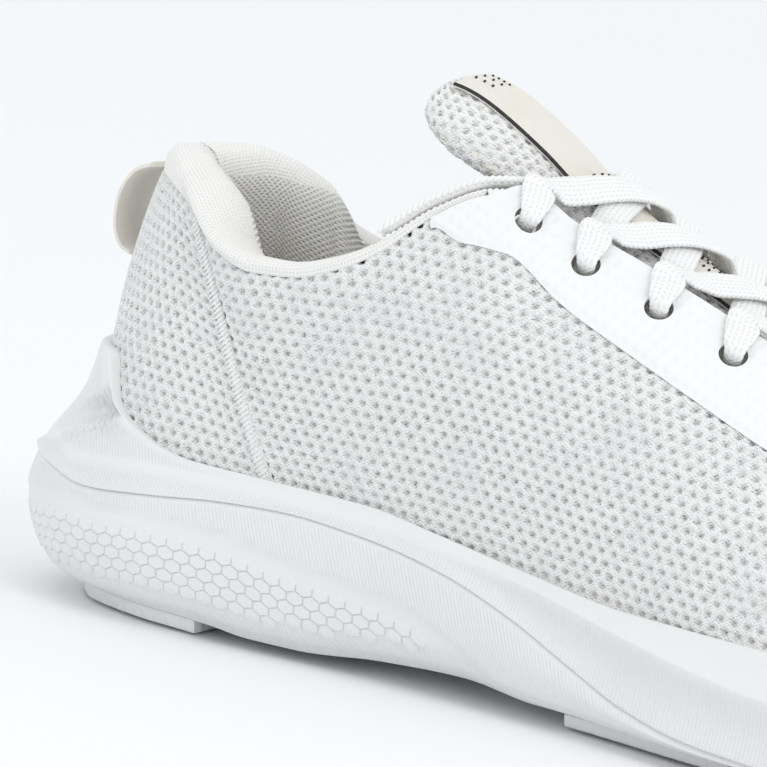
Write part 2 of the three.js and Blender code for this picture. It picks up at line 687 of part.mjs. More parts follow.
function makeStiffeners() {
  const counterHeight = (q) => mix(0.42, 0.32, smooth(0.05, Q_SEAM, q));
  addPart('heel_counter', 'board', upperLayer({
    sides: BOTH, stations: upperStations(0, ribQ[SEAM_RIB - 1]),
    lines: (side, q) => spread(0, counterHeight(q), 4),
    depth: STIFFENER_DEPTH, thickness: COUNTER_THICKNESS,
  }));
  addPart('toe_puff', 'board', upperLayer({
    sides: BOTH, stations: upperStations(PUFF_START, 1),
    lines: (side, q) => lowLines(side, q).slice(0, 4),
    depth: STIFFENER_DEPTH + 0.1, thickness: PUFF_THICKNESS,
  }));
  addPart('eyestay_reinforcement', 'board', cut(upperLayer({
    sides: BOTH, stations: upperStations(STAY_START, FILM_END), lines: topLines,
    depth: STIFFENER_DEPTH, thickness: EYESTAY_THICKNESS,
  }), PUNCHES));
}

function makeUpper() {
  const seamGap = 0.0007;
  addPart('heel_panel', 'knit', upperLayer({
    sides: BOTH, stations: upperStations(0, Q_SEAM - seamGap), lines: allLines,
    depth: 0, thickness: MESH_THICKNESS,
  }));
  addPart('vamp_quarter_mesh', 'knit', cut(upperLayer({
    sides: BOTH, stations: upperStations(Q_SEAM + seamGap, 1), lines: allLines,
    depth: 0, thickness: MESH_THICKNESS,
  }), PUNCHES));
  for (const side of BOTH) {
    const half = 0.006;
    const name = side === LATERAL ? 'lateral' : 'medial';
    addPart(`heel_seam_tape_${name}`, 'film', upperLayer({
      sides: [side], stations: [Q_SEAM - half, Q_SEAM, Q_SEAM + half],
      lines: (s, q) => spread(rimFraction(s, q), meshTop(s, q) - 0.004, 10),
      depth: -GAP - 0.5, thickness: 0.4,
    }));
  }
  addPart('eyestay_overlay', 'film', cut(upperLayer({
    sides: BOTH, stations: upperStations(FILM_START, FILM_END), lines: topLines,
    depth: -GAP - FILM_THICKNESS, thickness: FILM_THICKNESS,
  }), PUNCHES));
  addPart('upper_lining', 'lining', upperLayer({
    sides: BOTH, stations: upperStations(0, 1),
    lines: (side, q) => (q > FILM_END ? allLines(side, q) : spread(0, liningTop(side, q), 7)),
    depth: LINING_DEPTH + 0.2, thickness: LINING_THICKNESS,
  }));
}

// ---------------------------------------------------------------- collar padding
const padThickness = track([0, 9.5], [ribQ[2], 11], [ribQ[4], 11.5], [ribQ[7], 9.5],
  [ribQ[10], 7], [Q_CORNER, 5.4]);

// Section of the collar lining's outer face: [mm below the rim, depth in from the mesh face].
function collarSection(q) {
  const t = padThickness(q);
  const roll = rollDepth(q);
  const reach = padReach(q);
  return [
    [roll, 0.1], [roll * 0.5, -0.5], [roll * 0.12, 0.8], [0, t * 0.35], [0.7, t * 0.72],
    [roll * 0.35 + 2, t], [reach * 0.35, t + 0.4], [reach * 0.6, t - 0.6],
    [reach * 0.84, mix(4.6, t, 0.45)], [reach, 4.4],
  ];
}

// Moves a section line sideways into the padding by a distance.
function insideOf(line, distance) {
  return line.map((point, i) => {
    const before = line[Math.max(i - 1, 0)];
    const after = line[Math.min(i + 1, line.length - 1)];
    const dh = after[0] - before[0];
    const dd = after[1] - before[1];
    const size = Math.hypot(dh, dd);
    return [point[0] + (dd / size) * distance, point[1] - (dh / size) * distance];
  });
}

const atSection = (side, q, [down, depth]) => onUpper(side, q, below(side, q, down), depth);
const COLLAR_STATIONS = upperStations(0, Q_CORNER);
const FOAM_CLEARANCE = 1.7;      // loose fit of the padding inside its covers

function makeCollar() {
  const panels = BOTH.map((side) => ({
    flip: side === MEDIAL,
    grid: COLLAR_STATIONS.map((q) => {
      const outer = collarSection(q);
      const inner = insideOf(outer, LINING_THICKNESS);
      return outer.map((p, i) => ({
        outer: atSection(side, q, p), inner: atSection(side, q, inner[i]),
      }));
    }),
  }));
  addPart('collar_lining', 'lining', sheet(panels));
  const foamLoop = (side, q) => {
    const face = insideOf(collarSection(q), LINING_THICKNESS + FOAM_CLEARANCE).slice(1, -1);
    const back = spread(padReach(q) - 4, rollDepth(q) + 2, 4)
      .map((down) => [down, STIFFENER_DEPTH + FOAM_CLEARANCE]);
    return [...face, ...back].map((p) => atSection(side, q, p));
  };
  const around = [...COLLAR_STATIONS].reverse().map((q) => foamLoop(LATERAL, q))
    .concat(COLLAR_STATIONS.slice(1).map((q) => foamLoop(MEDIAL, q)));
  addPart('collar_foam', 'foam', loft(around, true, true));
}

// ---------------------------------------------------------------- binding at the collar front
const BINDING_START = ribQ[9];
const BINDING_END = ribQ[12];
const BINDING_HALF_WIDTH = 1.9;
const BINDING_HALF_HEIGHT = 1.1;

function makeBinding() {
  for (const side of BOTH) {
    const stations = upperStations(BINDING_START, BINDING_END, 0.01);
    const loops = stations.map((q) => {
      const r = rib(side, q);
      const up = r.top.clone().sub(r.high).normalize();
      const out = upperNormal(side, q, 1);
      const centre = r.top.clone().addScaledVector(up, BINDING_HALF_HEIGHT + 0.7)
        .addScaledVector(out, -1.2);
      return Array.from({ length: 6 }, (_, i) => {
        const angle = (i / 6) * 2 * Math.PI;
        return centre.clone().addScaledVector(out, BINDING_HALF_WIDTH * Math.cos(angle))
          .addScaledVector(up, BINDING_HALF_HEIGHT * Math.sin(angle));
      });
    });
    const name = side === LATERAL ? 'lateral' : 'medial';
    addPart(`collar_binding_${name}`, 'knit', loft(loops, true, true));
  }
}

// ---------------------------------------------------------------- pull tab
// A folded tape loop that stands off the heel: x and z of its middle line, from its upper end.
const TAB_LINE = [
  [17, 88.8], [13.4, 87], [10.8, 83], [10, 78.5], [10.5, 74], [12.4, 70.8], [14.7, 69.8],
];

const tabNormal = (along) => vec(-along.z, 0, along.x);

function makePullTab() {
  const line = new THREE.CatmullRomCurve3(TAB_LINE.map(([x, z]) => vec(x, 0, z)));
  const steps = 12;
  const grid = spread(0, 1, steps).map((t) => {
    const point = line.getPoint(t);
    const out = tabNormal(line.getTangent(t)).multiplyScalar(TAB_THICKNESS / 2);
    return [-0.5, 0.5].map((k) => {
      const centre = point.clone().setY(k * TAB_WIDTH);
      return { outer: centre.clone().add(out), inner: centre.clone().sub(out) };
    });
  });
  addPart('heel_pull_tab', 'tape', sheet([{ flip: false, grid }]));
}

// ---------------------------------------------------------------- tongue
// Crest line from the root under the vamp up to the top edge: x, z, half width, arch radius,
// padding thickness.
const TONGUE_STATIONS = [
  [212, 51.4, 15, 28, 2.4], [203, 55.3, 17, 26, 2.6], [190, 61.4, 18.5, 24, 3.4],
  [175, 69.4, 19, 23, 4], [157, 79, 19, 23, 4.4], [137, 89.2, 18, 22.5, 4.8],
  [125, 95.2, 17.6, 22.5, 5], [116, 100.3, 17.6, 24, 5.2], [106, 107.4, 19.4, 28, 5.4],
  [93, 114.8, 22.5, 34, 5.6], [87, 117.2, 22, 38, 5.2], [82.5, 118.4, 19, 38, 4],
];
const tongueCurve = new THREE.CatmullRomCurve3(
  TONGUE_STATIONS.map(([x, z]) => vec(x, TONGUE_CENTRE, z)), false, 'centripetal');
const tongueTrack = (column) => track(...TONGUE_STATIONS.map(
  (row, i) => [i / (TONGUE_STATIONS.length - 1), row[column]]));
const tongueHalfWidth = tongueTrack(2);
const tongueRadius = tongueTrack(3);
const tonguePadding = tongueTrack(4);

const tongueUp = (along) => vec(along.z, 0, -along.x).normalize();

// a runs from the tongue's root (0) to its top (1); y is measured across from its crest.
function onTongue(a, y, depth) {
  const crest = tongueCurve.getPoint(a);
  const up = tongueUp(tongueCurve.getTangent(a));
  const radius = tongueRadius(a);
  const angle = Math.asin(clamp(y / radius, -0.95, 0.95));
  const reach = radius - depth;
  return crest.addScaledVector(up, reach * Math.cos(angle) - radius)
    .add(vec(0, reach * Math.sin(angle), 0));
}

function tongueAt(x) {
  let low = 0;
  let high = 1;
  for (let i = 0; i < 40; i += 1) {
    const middle = (low + high) / 2;
    if (tongueCurve.getPoint(middle).x > x) low = middle;
    else high = middle;
  }
  return low;
}

const TONGUE_ROWS = spread(0, 1, 18);
const TONGUE_COLUMNS = spread(-1, 1, 6);

function tongueLayer(depth, thickness) {
  const grid = TONGUE_ROWS.map((a) => TONGUE_COLUMNS.map((k) => {
    const y = k * tongueHalfWidth(a);
    const low = depth(a) + thickness(a);
    return { outer: onTongue(a, y, depth(a)), inner: onTongue(a, y * (1 - low / 80), low) };
  }));
  return sheet([{ flip: false, grid }]);
}

const LABEL_TOP_X = 84.5;
const LABEL_END_X = 156;
const labelCentre = track([0, 3], [1, -2]);   // the label runs slightly askew

function makeTongue() {
  const foamDepth = TONGUE_CLOTH + GAP;
  addPart('tongue_outer', 'knit', tongueLayer(always(0), always(TONGUE_CLOTH)));
  addPart('tongue_foam', 'foam', tongueLayer(always(foamDepth), (a) => tonguePadding(a) - 1));
  addPart('tongue_lining', 'lining',
    tongueLayer((a) => foamDepth + tonguePadding(a) - 1 + 2 * GAP, always(LINING_THICKNESS)));
  const from = tongueAt(LABEL_END_X);
  const to = tongueAt(LABEL_TOP_X);
  const rows = TONGUE_ROWS.filter((a) => a > from && a < to);
  const grid = rows.map((a) => spread(-1, 1, 4).map((k) => {
    const y = labelCentre((a - from) / (to - from)) + k * LABEL_HALF_WIDTH;
    return { outer: onTongue(a, y, -GAP - LABEL_THICKNESS), inner: onTongue(a, y, -GAP) };
  }));
  addPart('tongue_label', 'tape', sheet([{ flip: false, grid }]));
}

// ---------------------------------------------------------------- lace
// One flat lace in over-under criss-cross lacing: it comes up from below at each toe-side
// eyelet, and goes over the throat edge and down into each heel-side eyelet. Its two ends go
// down through the top eyelets and lie between the quarters and the foot space.
const STACK_DEPTH = STIFFENER_DEPTH + EYESTAY_THICKNESS;
const FILM_RISE = GAP + FILM_THICKNESS;
const LACE_CLEARANCE = 0.4;
const OVER = FILM_RISE + LACE_CLEARANCE + LACE_THICKNESS / 2;
const UNDER = STACK_DEPTH + LACE_CLEARANCE + 0.15 + LACE_THICKNESS / 2;
const LOW_RISE = GAP + LABEL_THICKNESS + LACE_CLEARANCE + LACE_THICKNESS / 2;
const HIGH_RISE = LOW_RISE + LACE_THICKNESS + LACE_CLEARANCE;

const lacePoint = (point, across, width, thickness) => ({ point, across, width, thickness });

function throatDirection({ side, q }) {
  return topPoint(side, Math.min(q + 0.01, Q_THROAT_END - 0.002))
    .sub(topPoint(side, q - 0.01)).normalize();
}

function eyeletPoint(eyelet, inwards, depth, width, thickness) {
  const { centre, inward, normal } = eyelet;
  const point = centre.clone().addScaledVector(inward, inwards).addScaledVector(normal, -depth);
  return lacePoint(point, throatDirection(eyelet), width, thickness);
}

function edgePoint(eyelet, depth, inwards) {
  const { side, q, edge, inward } = eyelet;
  const point = edge.clone().addScaledVector(upperNormal(side, q, 1), -depth)
    .addScaledVector(inward, inwards);
  return lacePoint(point, throatDirection(eyelet), LACE_WIDTH, LACE_THICKNESS);
}

const holePoint = (eyelet) => eyeletPoint(eyelet, 0, 0.8, LACE_WIDTH_IN_HOLE,
  LACE_THICKNESS_IN_HOLE);

// From the hole over the eyestay to the throat edge, or the same way beneath it.
const overEyestay = (eyelet) => [
  eyeletPoint(eyelet, 0.5, -1.9, LACE_WIDTH_IN_HOLE + 0.6, 1.9),
  eyeletPoint(eyelet, 2.6, -OVER - 0.35, 5.4, 1.5),
  eyeletPoint(eyelet, 5.4, -OVER - 0.1, 6.6, LACE_THICKNESS),
  edgePoint(eyelet, -OVER - 0.2, 0.8),
];
const underEyestay = (eyelet) => [
  eyeletPoint(eyelet, 0.5, UNDER - 0.2, LACE_WIDTH_IN_HOLE + 0.6, 1.7),
  eyeletPoint(eyelet, 3.2, UNDER + 0.4, 5.6, LACE_THICKNESS),
  edgePoint(eyelet, UNDER + 0.2, 0.3),
];

// A strand between a lateral and a medial eyelet runs straight from edge to edge, or over the
// tongue where that stands higher. least gives its least height over the tongue, and lift the
// amount by which it bends up (or down) where the strands cross.
function gapPoints(lateral, medial, start, end, least, lift) {
  const from = tongueAt(lateral.edge.x);
  const to = tongueAt(medial.edge.x);
  return ACROSS.map((k) => {
    const a = mix(from, to, k);
    const crest = tongueCurve.getPoint(a);
    const along = tongueCurve.getTangent(a);
    const up = tongueUp(along);
    const radius = tongueRadius(a);
    const line = start.point.clone().lerp(end.point, k).sub(crest);
    const angle = Math.atan2(line.y, line.dot(up) + radius);
    const bend = lift * smooth(0, 0.3, k) * (1 - smooth(0.7, 1, k));
    const rise = Math.max(least(k), Math.hypot(line.y, line.dot(up) + radius) - radius + bend);
    const reach = radius + rise;
    const point = crest.addScaledVector(along, line.dot(along))
      .addScaledVector(up, reach * Math.cos(angle) - radius)
      .add(vec(0, reach * Math.sin(angle), 0));
    return lacePoint(point, along.negate(), LACE_WIDTH, LACE_THICKNESS);
  });
}

const ACROSS = [0.12, 0.25, 0.38, 0.5, 0.62, 0.75, 0.88];
const BARE_RISE = LACE_CLEARANCE + LACE_THICKNESS / 2;   // beside the label, on the bare tongue
const lowRise = (k) => mix(BARE_RISE, LOW_RISE, smooth(0.08, 0.25, k));
const highRise = (k) => mix(HIGH_RISE, LOW_RISE, smooth(0.78, 0.92, k));
const CROSSING_LIFT = 1.0;

// Over the lateral eyestay, under the medial one.
function lateralOver(lateral, medial) {
  const start = overEyestay(lateral);
  const end = underEyestay(medial).reverse();
  return [...start,
    ...gapPoints(lateral, medial, start.at(-1), end[0], highRise, CROSSING_LIFT), ...end];
}

// Under the lateral eyestay, over the medial one.
function medialOver(lateral, medial) {
  const start = underEyestay(lateral);
  const end = overEyestay(medial).reverse();
  return [...start,
    ...gapPoints(lateral, medial, start.at(-1), end[0], lowRise, -CROSSING_LIFT), ...end];
}

// The hidden end, from its tip back to the top eyelet.
function laceEnd(side) {
  const eyelet = EYELETS[side][0];
  const stops = [[0.085, 22], [0.07, 22], [0.05, 22], [0.03, 21], [0.012, 18], [0.003, 13]];
  const tucked = stops.map(([forward, down], i) => {
    const q = eyelet.q + forward;
    const depth = LINING_DEPTH + 2 + LACE_THICKNESS / 2;
    const turn = smooth(0, 0.03, forward);
    const across = throatDirection(eyelet).multiplyScalar(1 - turn)
      .addScaledVector(eyelet.inward, turn);
    return lacePoint(onUpper(side, q, below(side, q, down), depth), across,
      i === 0 ? 3 : 6, i === 0 ? 2.2 : LACE_THICKNESS);
  });
  return [...tucked, eyeletPoint(eyelet, -0.6, UNDER, LACE_WIDTH_IN_HOLE + 0.8, 1.8)];
}

function laceRoute() {
  const lateral = EYELETS[LATERAL];
  const medial = EYELETS[MEDIAL];
  const last = EYELET_PAIRS - 1;
  const route = [...laceEnd(LATERAL)];
  for (let i = 0; i < last; i += 1) {
    const over = i % 2 === 0;
    route.push(holePoint(over ? lateral[i] : medial[i]));
    route.push(...(over ? lateralOver(lateral[i], medial[i + 1])
      : medialOver(lateral[i + 1], medial[i]).reverse()));
  }
  const barStart = overEyestay(lateral[last]);
  const barEnd = overEyestay(medial[last]).reverse();
  const bar = gapPoints(lateral[last], medial[last], barStart.at(-1), barEnd[0],
    always(BARE_RISE), 0);
  route.push(holePoint(medial[last]), ...[...barStart, ...bar, ...barEnd].reverse());
  for (let i = last; i > 0; i -= 1) {
    const fromLateral = i % 2 === 1;
    route.push(holePoint(fromLateral ? lateral[i] : medial[i]));
    route.push(...(fromLateral ? medialOver(lateral[i], medial[i - 1])
      : lateralOver(lateral[i - 1], medial[i]).reverse()));
  }
  route.push(holePoint(medial[0]), ...laceEnd(MEDIAL).reverse());
  return route;
}

const LACE_SECTION = [[-0.5, 0], [-0.36, 0.5], [0.36, 0.5], [0.5, 0], [0.36, -0.5], [-0.36, -0.5]];

function makeLace() {
  const route = laceRoute();
  const curve = new THREE.CatmullRomCurve3(route.map((r) => r.point), false, 'centripetal');
  const loops = route.map((r, i) => {
    const t = i / (route.length - 1);
    const along = curve.getTangent(t);
    const across = r.across.clone().addScaledVector(along, -r.across.dot(along)).normalize();
    const up = along.clone().cross(across);
    return LACE_SECTION.map(([w, h]) => r.point.clone()
      .addScaledVector(across, w * r.width).addScaledVector(up, h * r.thickness));
  });
  addPart('shoelace', 'knit', loft(loops, true, true));
  [[LATERAL, route[0], route[1]], [MEDIAL, route.at(-1), route.at(-2)]].forEach(
    ([side, tip, before]) => {
      const along = tip.point.clone().sub(before.point).normalize();
      const across = tip.across.clone().addScaledVector(along, -tip.across.dot(along)).normalize();
      const up = along.clone().cross(across);
      const ring = (distance) => Array.from({ length: 8 }, (_, i) => {
        const angle = (i / 8) * 2 * Math.PI;
        return tip.point.clone().addScaledVector(along, distance)
          .addScaledVector(across, AGLET_RADIUS * Math.cos(angle))
          .addScaledVector(up, AGLET_RADIUS * Math.sin(angle));
      });
      const name = side === LATERAL ? 'lateral' : 'medial';
      addPart(`lace_aglet_${name}`, 'plastic', loft([ring(GAP), ring(AGLET_LENGTH)], true, true));
    },
  );
}

makeSole();
makeFootbed();
makeUpper();
makeStiffeners();
makeCollar();
makeBinding();
makePullTab();
makeTongue();
makeLace();

const box = new THREE.Box3().setFromObject(shoe);
design.position.set(-(box.min.x + box.max.x) / 2, -(box.min.y + box.max.y) / 2, -box.min.z);

export default shoe;
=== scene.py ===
# %% [markdown]
# # A laced running shoe
# This lesson dresses a right-foot running shoe: a coarse air-mesh upper with a fused film
# round the eyelets, a padded collar and tongue, one long flat lace, and a two-part foam sole.
# The CAD frame gives every size. Blender adds the cloth, the relief and the finishes.

# %% Load the frame
import math

import bmesh
import bpy
import numpy as np
from mathutils import Matrix, Vector
from mathutils.kdtree import KDTree


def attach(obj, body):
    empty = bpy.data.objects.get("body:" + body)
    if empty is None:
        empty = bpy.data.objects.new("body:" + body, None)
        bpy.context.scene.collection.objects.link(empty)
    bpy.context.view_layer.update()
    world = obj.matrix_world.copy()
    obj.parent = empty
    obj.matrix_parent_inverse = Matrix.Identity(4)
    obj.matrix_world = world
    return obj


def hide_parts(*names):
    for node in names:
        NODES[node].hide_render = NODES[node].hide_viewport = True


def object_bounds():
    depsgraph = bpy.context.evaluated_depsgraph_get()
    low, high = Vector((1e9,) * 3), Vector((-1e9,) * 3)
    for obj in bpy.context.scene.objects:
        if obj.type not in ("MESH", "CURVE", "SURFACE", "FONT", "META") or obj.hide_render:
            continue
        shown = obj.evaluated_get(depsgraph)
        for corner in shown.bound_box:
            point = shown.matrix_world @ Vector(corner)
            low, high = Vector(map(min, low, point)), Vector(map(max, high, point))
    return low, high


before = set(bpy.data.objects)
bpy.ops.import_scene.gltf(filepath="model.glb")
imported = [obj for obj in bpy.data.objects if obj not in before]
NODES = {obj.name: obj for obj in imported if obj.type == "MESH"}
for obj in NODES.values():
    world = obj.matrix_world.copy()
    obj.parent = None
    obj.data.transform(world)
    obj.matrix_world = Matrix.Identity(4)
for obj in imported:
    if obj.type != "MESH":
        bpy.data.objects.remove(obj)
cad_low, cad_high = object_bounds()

print("frame", len(NODES), "nodes, box in mm",
      [round(1000 * x) for x in (cad_high - cad_low)])

# %% [markdown]
# ## Where things are
# The shoe is drawn in its maker's own millimetres: X from the heel back to the toe, Y to the
# inner side of the foot, Z up. One shift takes that frame into the row frame, in metres.

# %% The two frames
DESIGN_SHIFT = np.array([-148.752, 1.0267, 0.2328])
LATERAL, MEDIAL = -1, 1
SIDES = (LATERAL, MEDIAL)
SIDE_NAME = {LATERAL: "lateral", MEDIAL: "medial"}


def row(points):
    """Design millimetres to row-frame metres."""
    return (np.asarray(points, float) + DESIGN_SHIFT) / 1000.0


# %% [markdown]
# ## The camera
# A long lens keeps the heel quarter nearly free of perspective. The camera looks down at the
# outer side from a low height, rolled a little, so that the sole runs downhill in the frame.

# %% Camera
VIEW_TURN = math.radians(27.0)
VIEW_DROP = math.radians(8.0)
VIEW_ROLL = math.radians(8.2)
VIEW_DISTANCE = 900.0
VIEW_WIDTH = 150.4               # mm across the frame at the distance above
VIEW_CENTRE = np.array([93.5, -38.0, 58.8])
SENSOR = 36.0


def make_camera():
    ahead = np.array([-math.sin(VIEW_TURN) * math.cos(VIEW_DROP),
                      math.cos(VIEW_TURN) * math.cos(VIEW_DROP), -math.sin(VIEW_DROP)])
    level = np.array([math.cos(VIEW_TURN), math.sin(VIEW_TURN), 0.0])
    raised = np.cross(level, ahead)
    right = level * math.cos(VIEW_ROLL) + raised * math.sin(VIEW_ROLL)
    up = raised * math.cos(VIEW_ROLL) - level * math.sin(VIEW_ROLL)
    place = Matrix.Identity(4)
    for column, axis in enumerate((right, up, -ahead)):
        for line in range(3):
            place[line][column] = axis[line]
    place.translation = Vector(row(VIEW_CENTRE - VIEW_DISTANCE * ahead))
    data = bpy.data.cameras.new("camera")
    data.sensor_width = SENSOR
    data.lens = SENSOR * VIEW_DISTANCE / VIEW_WIDTH
    data.clip_start, data.clip_end = 0.01, 20.0
    camera = bpy.data.objects.new("camera", data)
    camera.matrix_world = place
    bpy.context.scene.collection.objects.link(camera)
    bpy.context.scene.camera = camera
    print("camera lens", round(data.lens, 1), "mm")


make_camera()

# %% [markdown]
# ## Smooth functions of one number
# A last maker works with tracks: how high the rim is, how far the wall leans, at each place
# along the shoe. A track here passes through its keys and never overshoots between them.


# %% Tracks and curves
def mix(a, b, t):
    return a + (b - a) * t


def smooth(low, high, t):
    k = np.clip((np.asarray(t, float) - low) / (high - low), 0, 1)
    return k * k * (3 - 2 * k)


def unit(v):
    return v / np.maximum(np.linalg.norm(v, axis=-1, keepdims=True), 1e-12)


def track(*keys):
    x, y = np.array(keys, float).T
    step = np.diff(y) / np.diff(x)
    slope = np.empty_like(y)
    slope[0], slope[-1] = step[0], step[-1]
    same = step[:-1] * step[1:] > 0
    inner = np.zeros(len(y) - 2)
    inner[same] = 2 * (step[:-1] * step[1:])[same] / (step[:-1] + step[1:])[same]
    slope[1:-1] = inner

    def at(t):
        t = np.clip(np.asarray(t, float), x[0], x[-1])
        i = np.clip(np.searchsorted(x, t, side="right") - 1, 0, len(x) - 2)
        width = x[i + 1] - x[i]
        k = (t - x[i]) / width
        return ((1 + 2 * k) * (1 - k) ** 2 * y[i] + k * (1 - k) ** 2 * width * slope[i]
                + k * k * (3 - 2 * k) * y[i + 1] + k * k * (k - 1) * width * slope[i + 1])
    return at


def spline(points, closed=False):
    """A centripetal curve through points; its argument runs from 0 to 1."""
    p = np.asarray(points, float)
    count = len(p)
    if closed:
        ring = np.vstack([p[-1:], p, p[:2]])
        spans = count
    else:
        ring = np.vstack([2 * p[:1] - p[1:2], p, 2 * p[-1:] - p[-2:-1]])
        spans = count - 1

    def at(t):
        place = np.clip(np.asarray(t, float), 0, 1) * spans
        i = np.minimum(place.astype(int), spans - 1)
        k = (place - i)[..., None]
        a, b, c, d = (ring[i + n] for n in range(4))
        ab, bc, cd = (np.sqrt(np.linalg.norm(n - m, axis=-1, keepdims=True))
                      for m, n in ((a, b), (b, c), (c, d)))
        t1 = ((b - a) / ab - (c - a) / (ab + bc) + (c - b) / bc) * bc
        t2 = ((c - b) / bc - (d - b) / (bc + cd) + (d - c) / cd) * bc
        return b + t1 * k + (3 * (c - b) - 2 * t1 - t2) * k ** 2 \
            + (2 * (b - c) + t1 + t2) * k ** 3
    return at


# %% [markdown]
# ## The outline of the sole
# The plan outline is one closed curve. Each half is measured by arc length: 0 at the heel
# back, 1 at the toe tip. Everything in the shoe is placed by that number.

# %% Outline
HEEL_BACK = (0.5, 0)
TOE_TIP = (298, 6)
OUTLINES = {
    LATERAL: [(2.5, -14), (8.5, -26), (20, -36.5), (40, -42), (70, -41.3), (105, -40.3),
              (140, -43.5), (170, -49), (197, -52), (227, -50.5), (255, -43.5),
              (277, -31.5), (291, -15)],
    MEDIAL: [(2.5, 14), (8.5, 26), (20, 36), (40, 40), (70, 36.5), (105, 34), (140, 37.5),
             (170, 43.5), (200, 48.5), (227, 50), (255, 47), (278, 38.5), (292, 25)],
}


def half_outline(side):
    ring = [HEEL_BACK, *OUTLINES[side], TOE_TIP, *OUTLINES[-side][::-1]]
    curve = spline([(x, y, 0) for x, y in ring], closed=True)
    t = np.linspace(0, (len(OUTLINES[side]) + 1) / len(ring), 401)
    points = curve(t)
    along = unit(curve(t + 1e-4) - curve(np.maximum(t - 1e-4, 0)))
    length = np.concatenate([[0], np.cumsum(np.linalg.norm(np.diff(points, axis=0), axis=1))])
    return {"s": length, "x": points[:, 0], "y": points[:, 1],
            "nx": -side * along[:, 1], "ny": side * along[:, 0]}


HALF = {side: half_outline(side) for side in SIDES}


def outline_at(side, q):
    half = HALF[side]
    q = np.asarray(q, float)
    s = np.clip(q, 0, 1) * half["s"][-1]
    x, y, nx, ny = (np.interp(s, half["s"], half[k]) for k in ("x", "y", "nx", "ny"))
    out = unit(np.stack([nx, ny, np.zeros_like(nx)], -1))
    out = np.where((q <= 0)[..., None], [-1.0, 0, 0], out)
    out = np.where((q >= 1)[..., None], [1.0, 0, 0], out)
    return x, y, out


def q_of(x):
    half = HALF[LATERAL]
    if x <= HEEL_BACK[0]:
        return 0.0
    reached = np.nonzero(half["x"] >= x)[0]
    return half["s"][reached[0] if len(reached) else -1] / half["s"][-1]


def inset(o, distance, z):
    x, y, out = o
    return np.stack([x, y, np.broadcast_to(z, np.shape(x))], -1) \
        - out * np.asarray(distance)[..., None]


print("outline length, lateral", round(HALF[LATERAL]["s"][-1], 1), "mm")

# %% [markdown]
# ## Levels of the sole
# These tracks repeat the sole's design: rim, moulded ridge, parting line between the carrier
# and the softer core, footbed and underside, each as a function of X, and how far each line
# stands inside the outline.

# %% Sole tracks
rim_top = track((0, 52.5), (20, 52.5), (23, 51.6), (25.5, 47.5), (28.5, 43), (33, 40.3),
                (38, 38.3), (44, 36.5), (52, 35), (68, 34.5), (92, 33.8), (108, 31.4),
                (128, 28.4), (152, 25.9), (185, 25.8), (240, 26.3), (270, 28), (298, 31))
ridge_level = track((0, 32.2), (16, 32.2), (24, 30), (39, 31.2), (60, 31.8), (80, 31.5),
                    (100, 30.2), (117, 28), (133, 25.9), (149, 23), (167, 19.8), (188, 17.3),
                    (225, 16.6), (260, 18.5), (298, 25))
parting_level = track((0, 28.2), (16, 26.9), (28, 25), (46, 26.6), (63, 28.5), (77, 29.1),
                      (95, 27.6), (112, 24.5), (130, 18.7), (143, 13.2), (157, 8), (172, 5.1),
                      (192, 4))
footbed_level = track((0, 25.5), (45, 25), (80, 24), (120, 20.5), (160, 16.5), (200, 14),
                      (232, 13.8), (262, 16), (298, 20))
foam_bottom = track((0, 3), (50, 3), (60, 2.6), (70, 1.6), (80, 1.6), (100, 3.5), (118, 4.4),
                    (134, 3), (222, 3), (245, 4.4), (265, 7.4), (285, 12.5), (298, 16.5))
rim_inset = track((0, 12.6), (4, 12.2), (20, 9), (32, 6.4), (50, 5.1), (290, 5), (298, 5))
shoulder_inset = track((0, 9.4), (8, 9), (24, 6.8), (40, 4.8), (110, 4.4), (150, 3), (298, 3))
ridge_inset = track((0, 3.6), (20, 3.4), (50, 3.6), (110, 3.6), (150, 1.0), (298, 1.0))
waist_inset = track((0, 2.5), (50, 3.0), (110, 3.2), (150, 3.0), (200, 2.8), (298, 2.8))
parting_inset = track((0, 1.2), (50, 1.6), (110, 1.6), (160, 1.6), (298, 2.4))
core_bulge = track((0, 0), (50, 0.4), (192, 1.6))
core_low = track((0, 3), (30, 2.2), (60, 1.6), (192, 2.6))
core_foot = track((0, 7.2), (30, 5), (60, 3.6), (192, 4))
bottom_inset = track((0, 14), (25, 11), (60, 7), (298, 7.5))
cup_clearance = track((0, 0.8), (14, 0.9), (21, 1.5), (32, 1.3), (45, 0.8))
GAP = 0.3
CORE_STEP = 0.9
CORE_END_X = 192
PLATE_INSET = 13
PLATE_THICKNESS = 5
TWIST_CLEARANCE = 2.1
LIP_BACKSET = 3.2
FOOT_LIFT = 0.5
RUBBER = 2.7


def feather_inset(x):
    return rim_inset(x) + LIP_BACKSET


def core_top(x):
    return np.minimum(parting_level(x), footbed_level(x) - PLATE_THICKNESS)


def underside(x):
    ahead = mix(core_top(CORE_END_X) + GAP, foam_bottom(x),
                smooth(CORE_END_X, CORE_END_X + 16, x))
    return np.where(x < CORE_END_X, core_top(x) + GAP, ahead)


def lip_level(x):
    ahead = underside(x) + smooth(CORE_END_X, CORE_END_X + 10, x)
    return np.where(x < CORE_END_X, parting_level(x) + GAP, ahead)


# %% [markdown]
# ## The surface of the upper
# The upper is drawn as a family of ribs. Each rib is a Bezier curve from the feather line,
# deep in the sole's cup, to the top line: collar rim, throat edge, then the ridge over the
# toes. A point is named by its side, q along the shoe, and v up the rib.

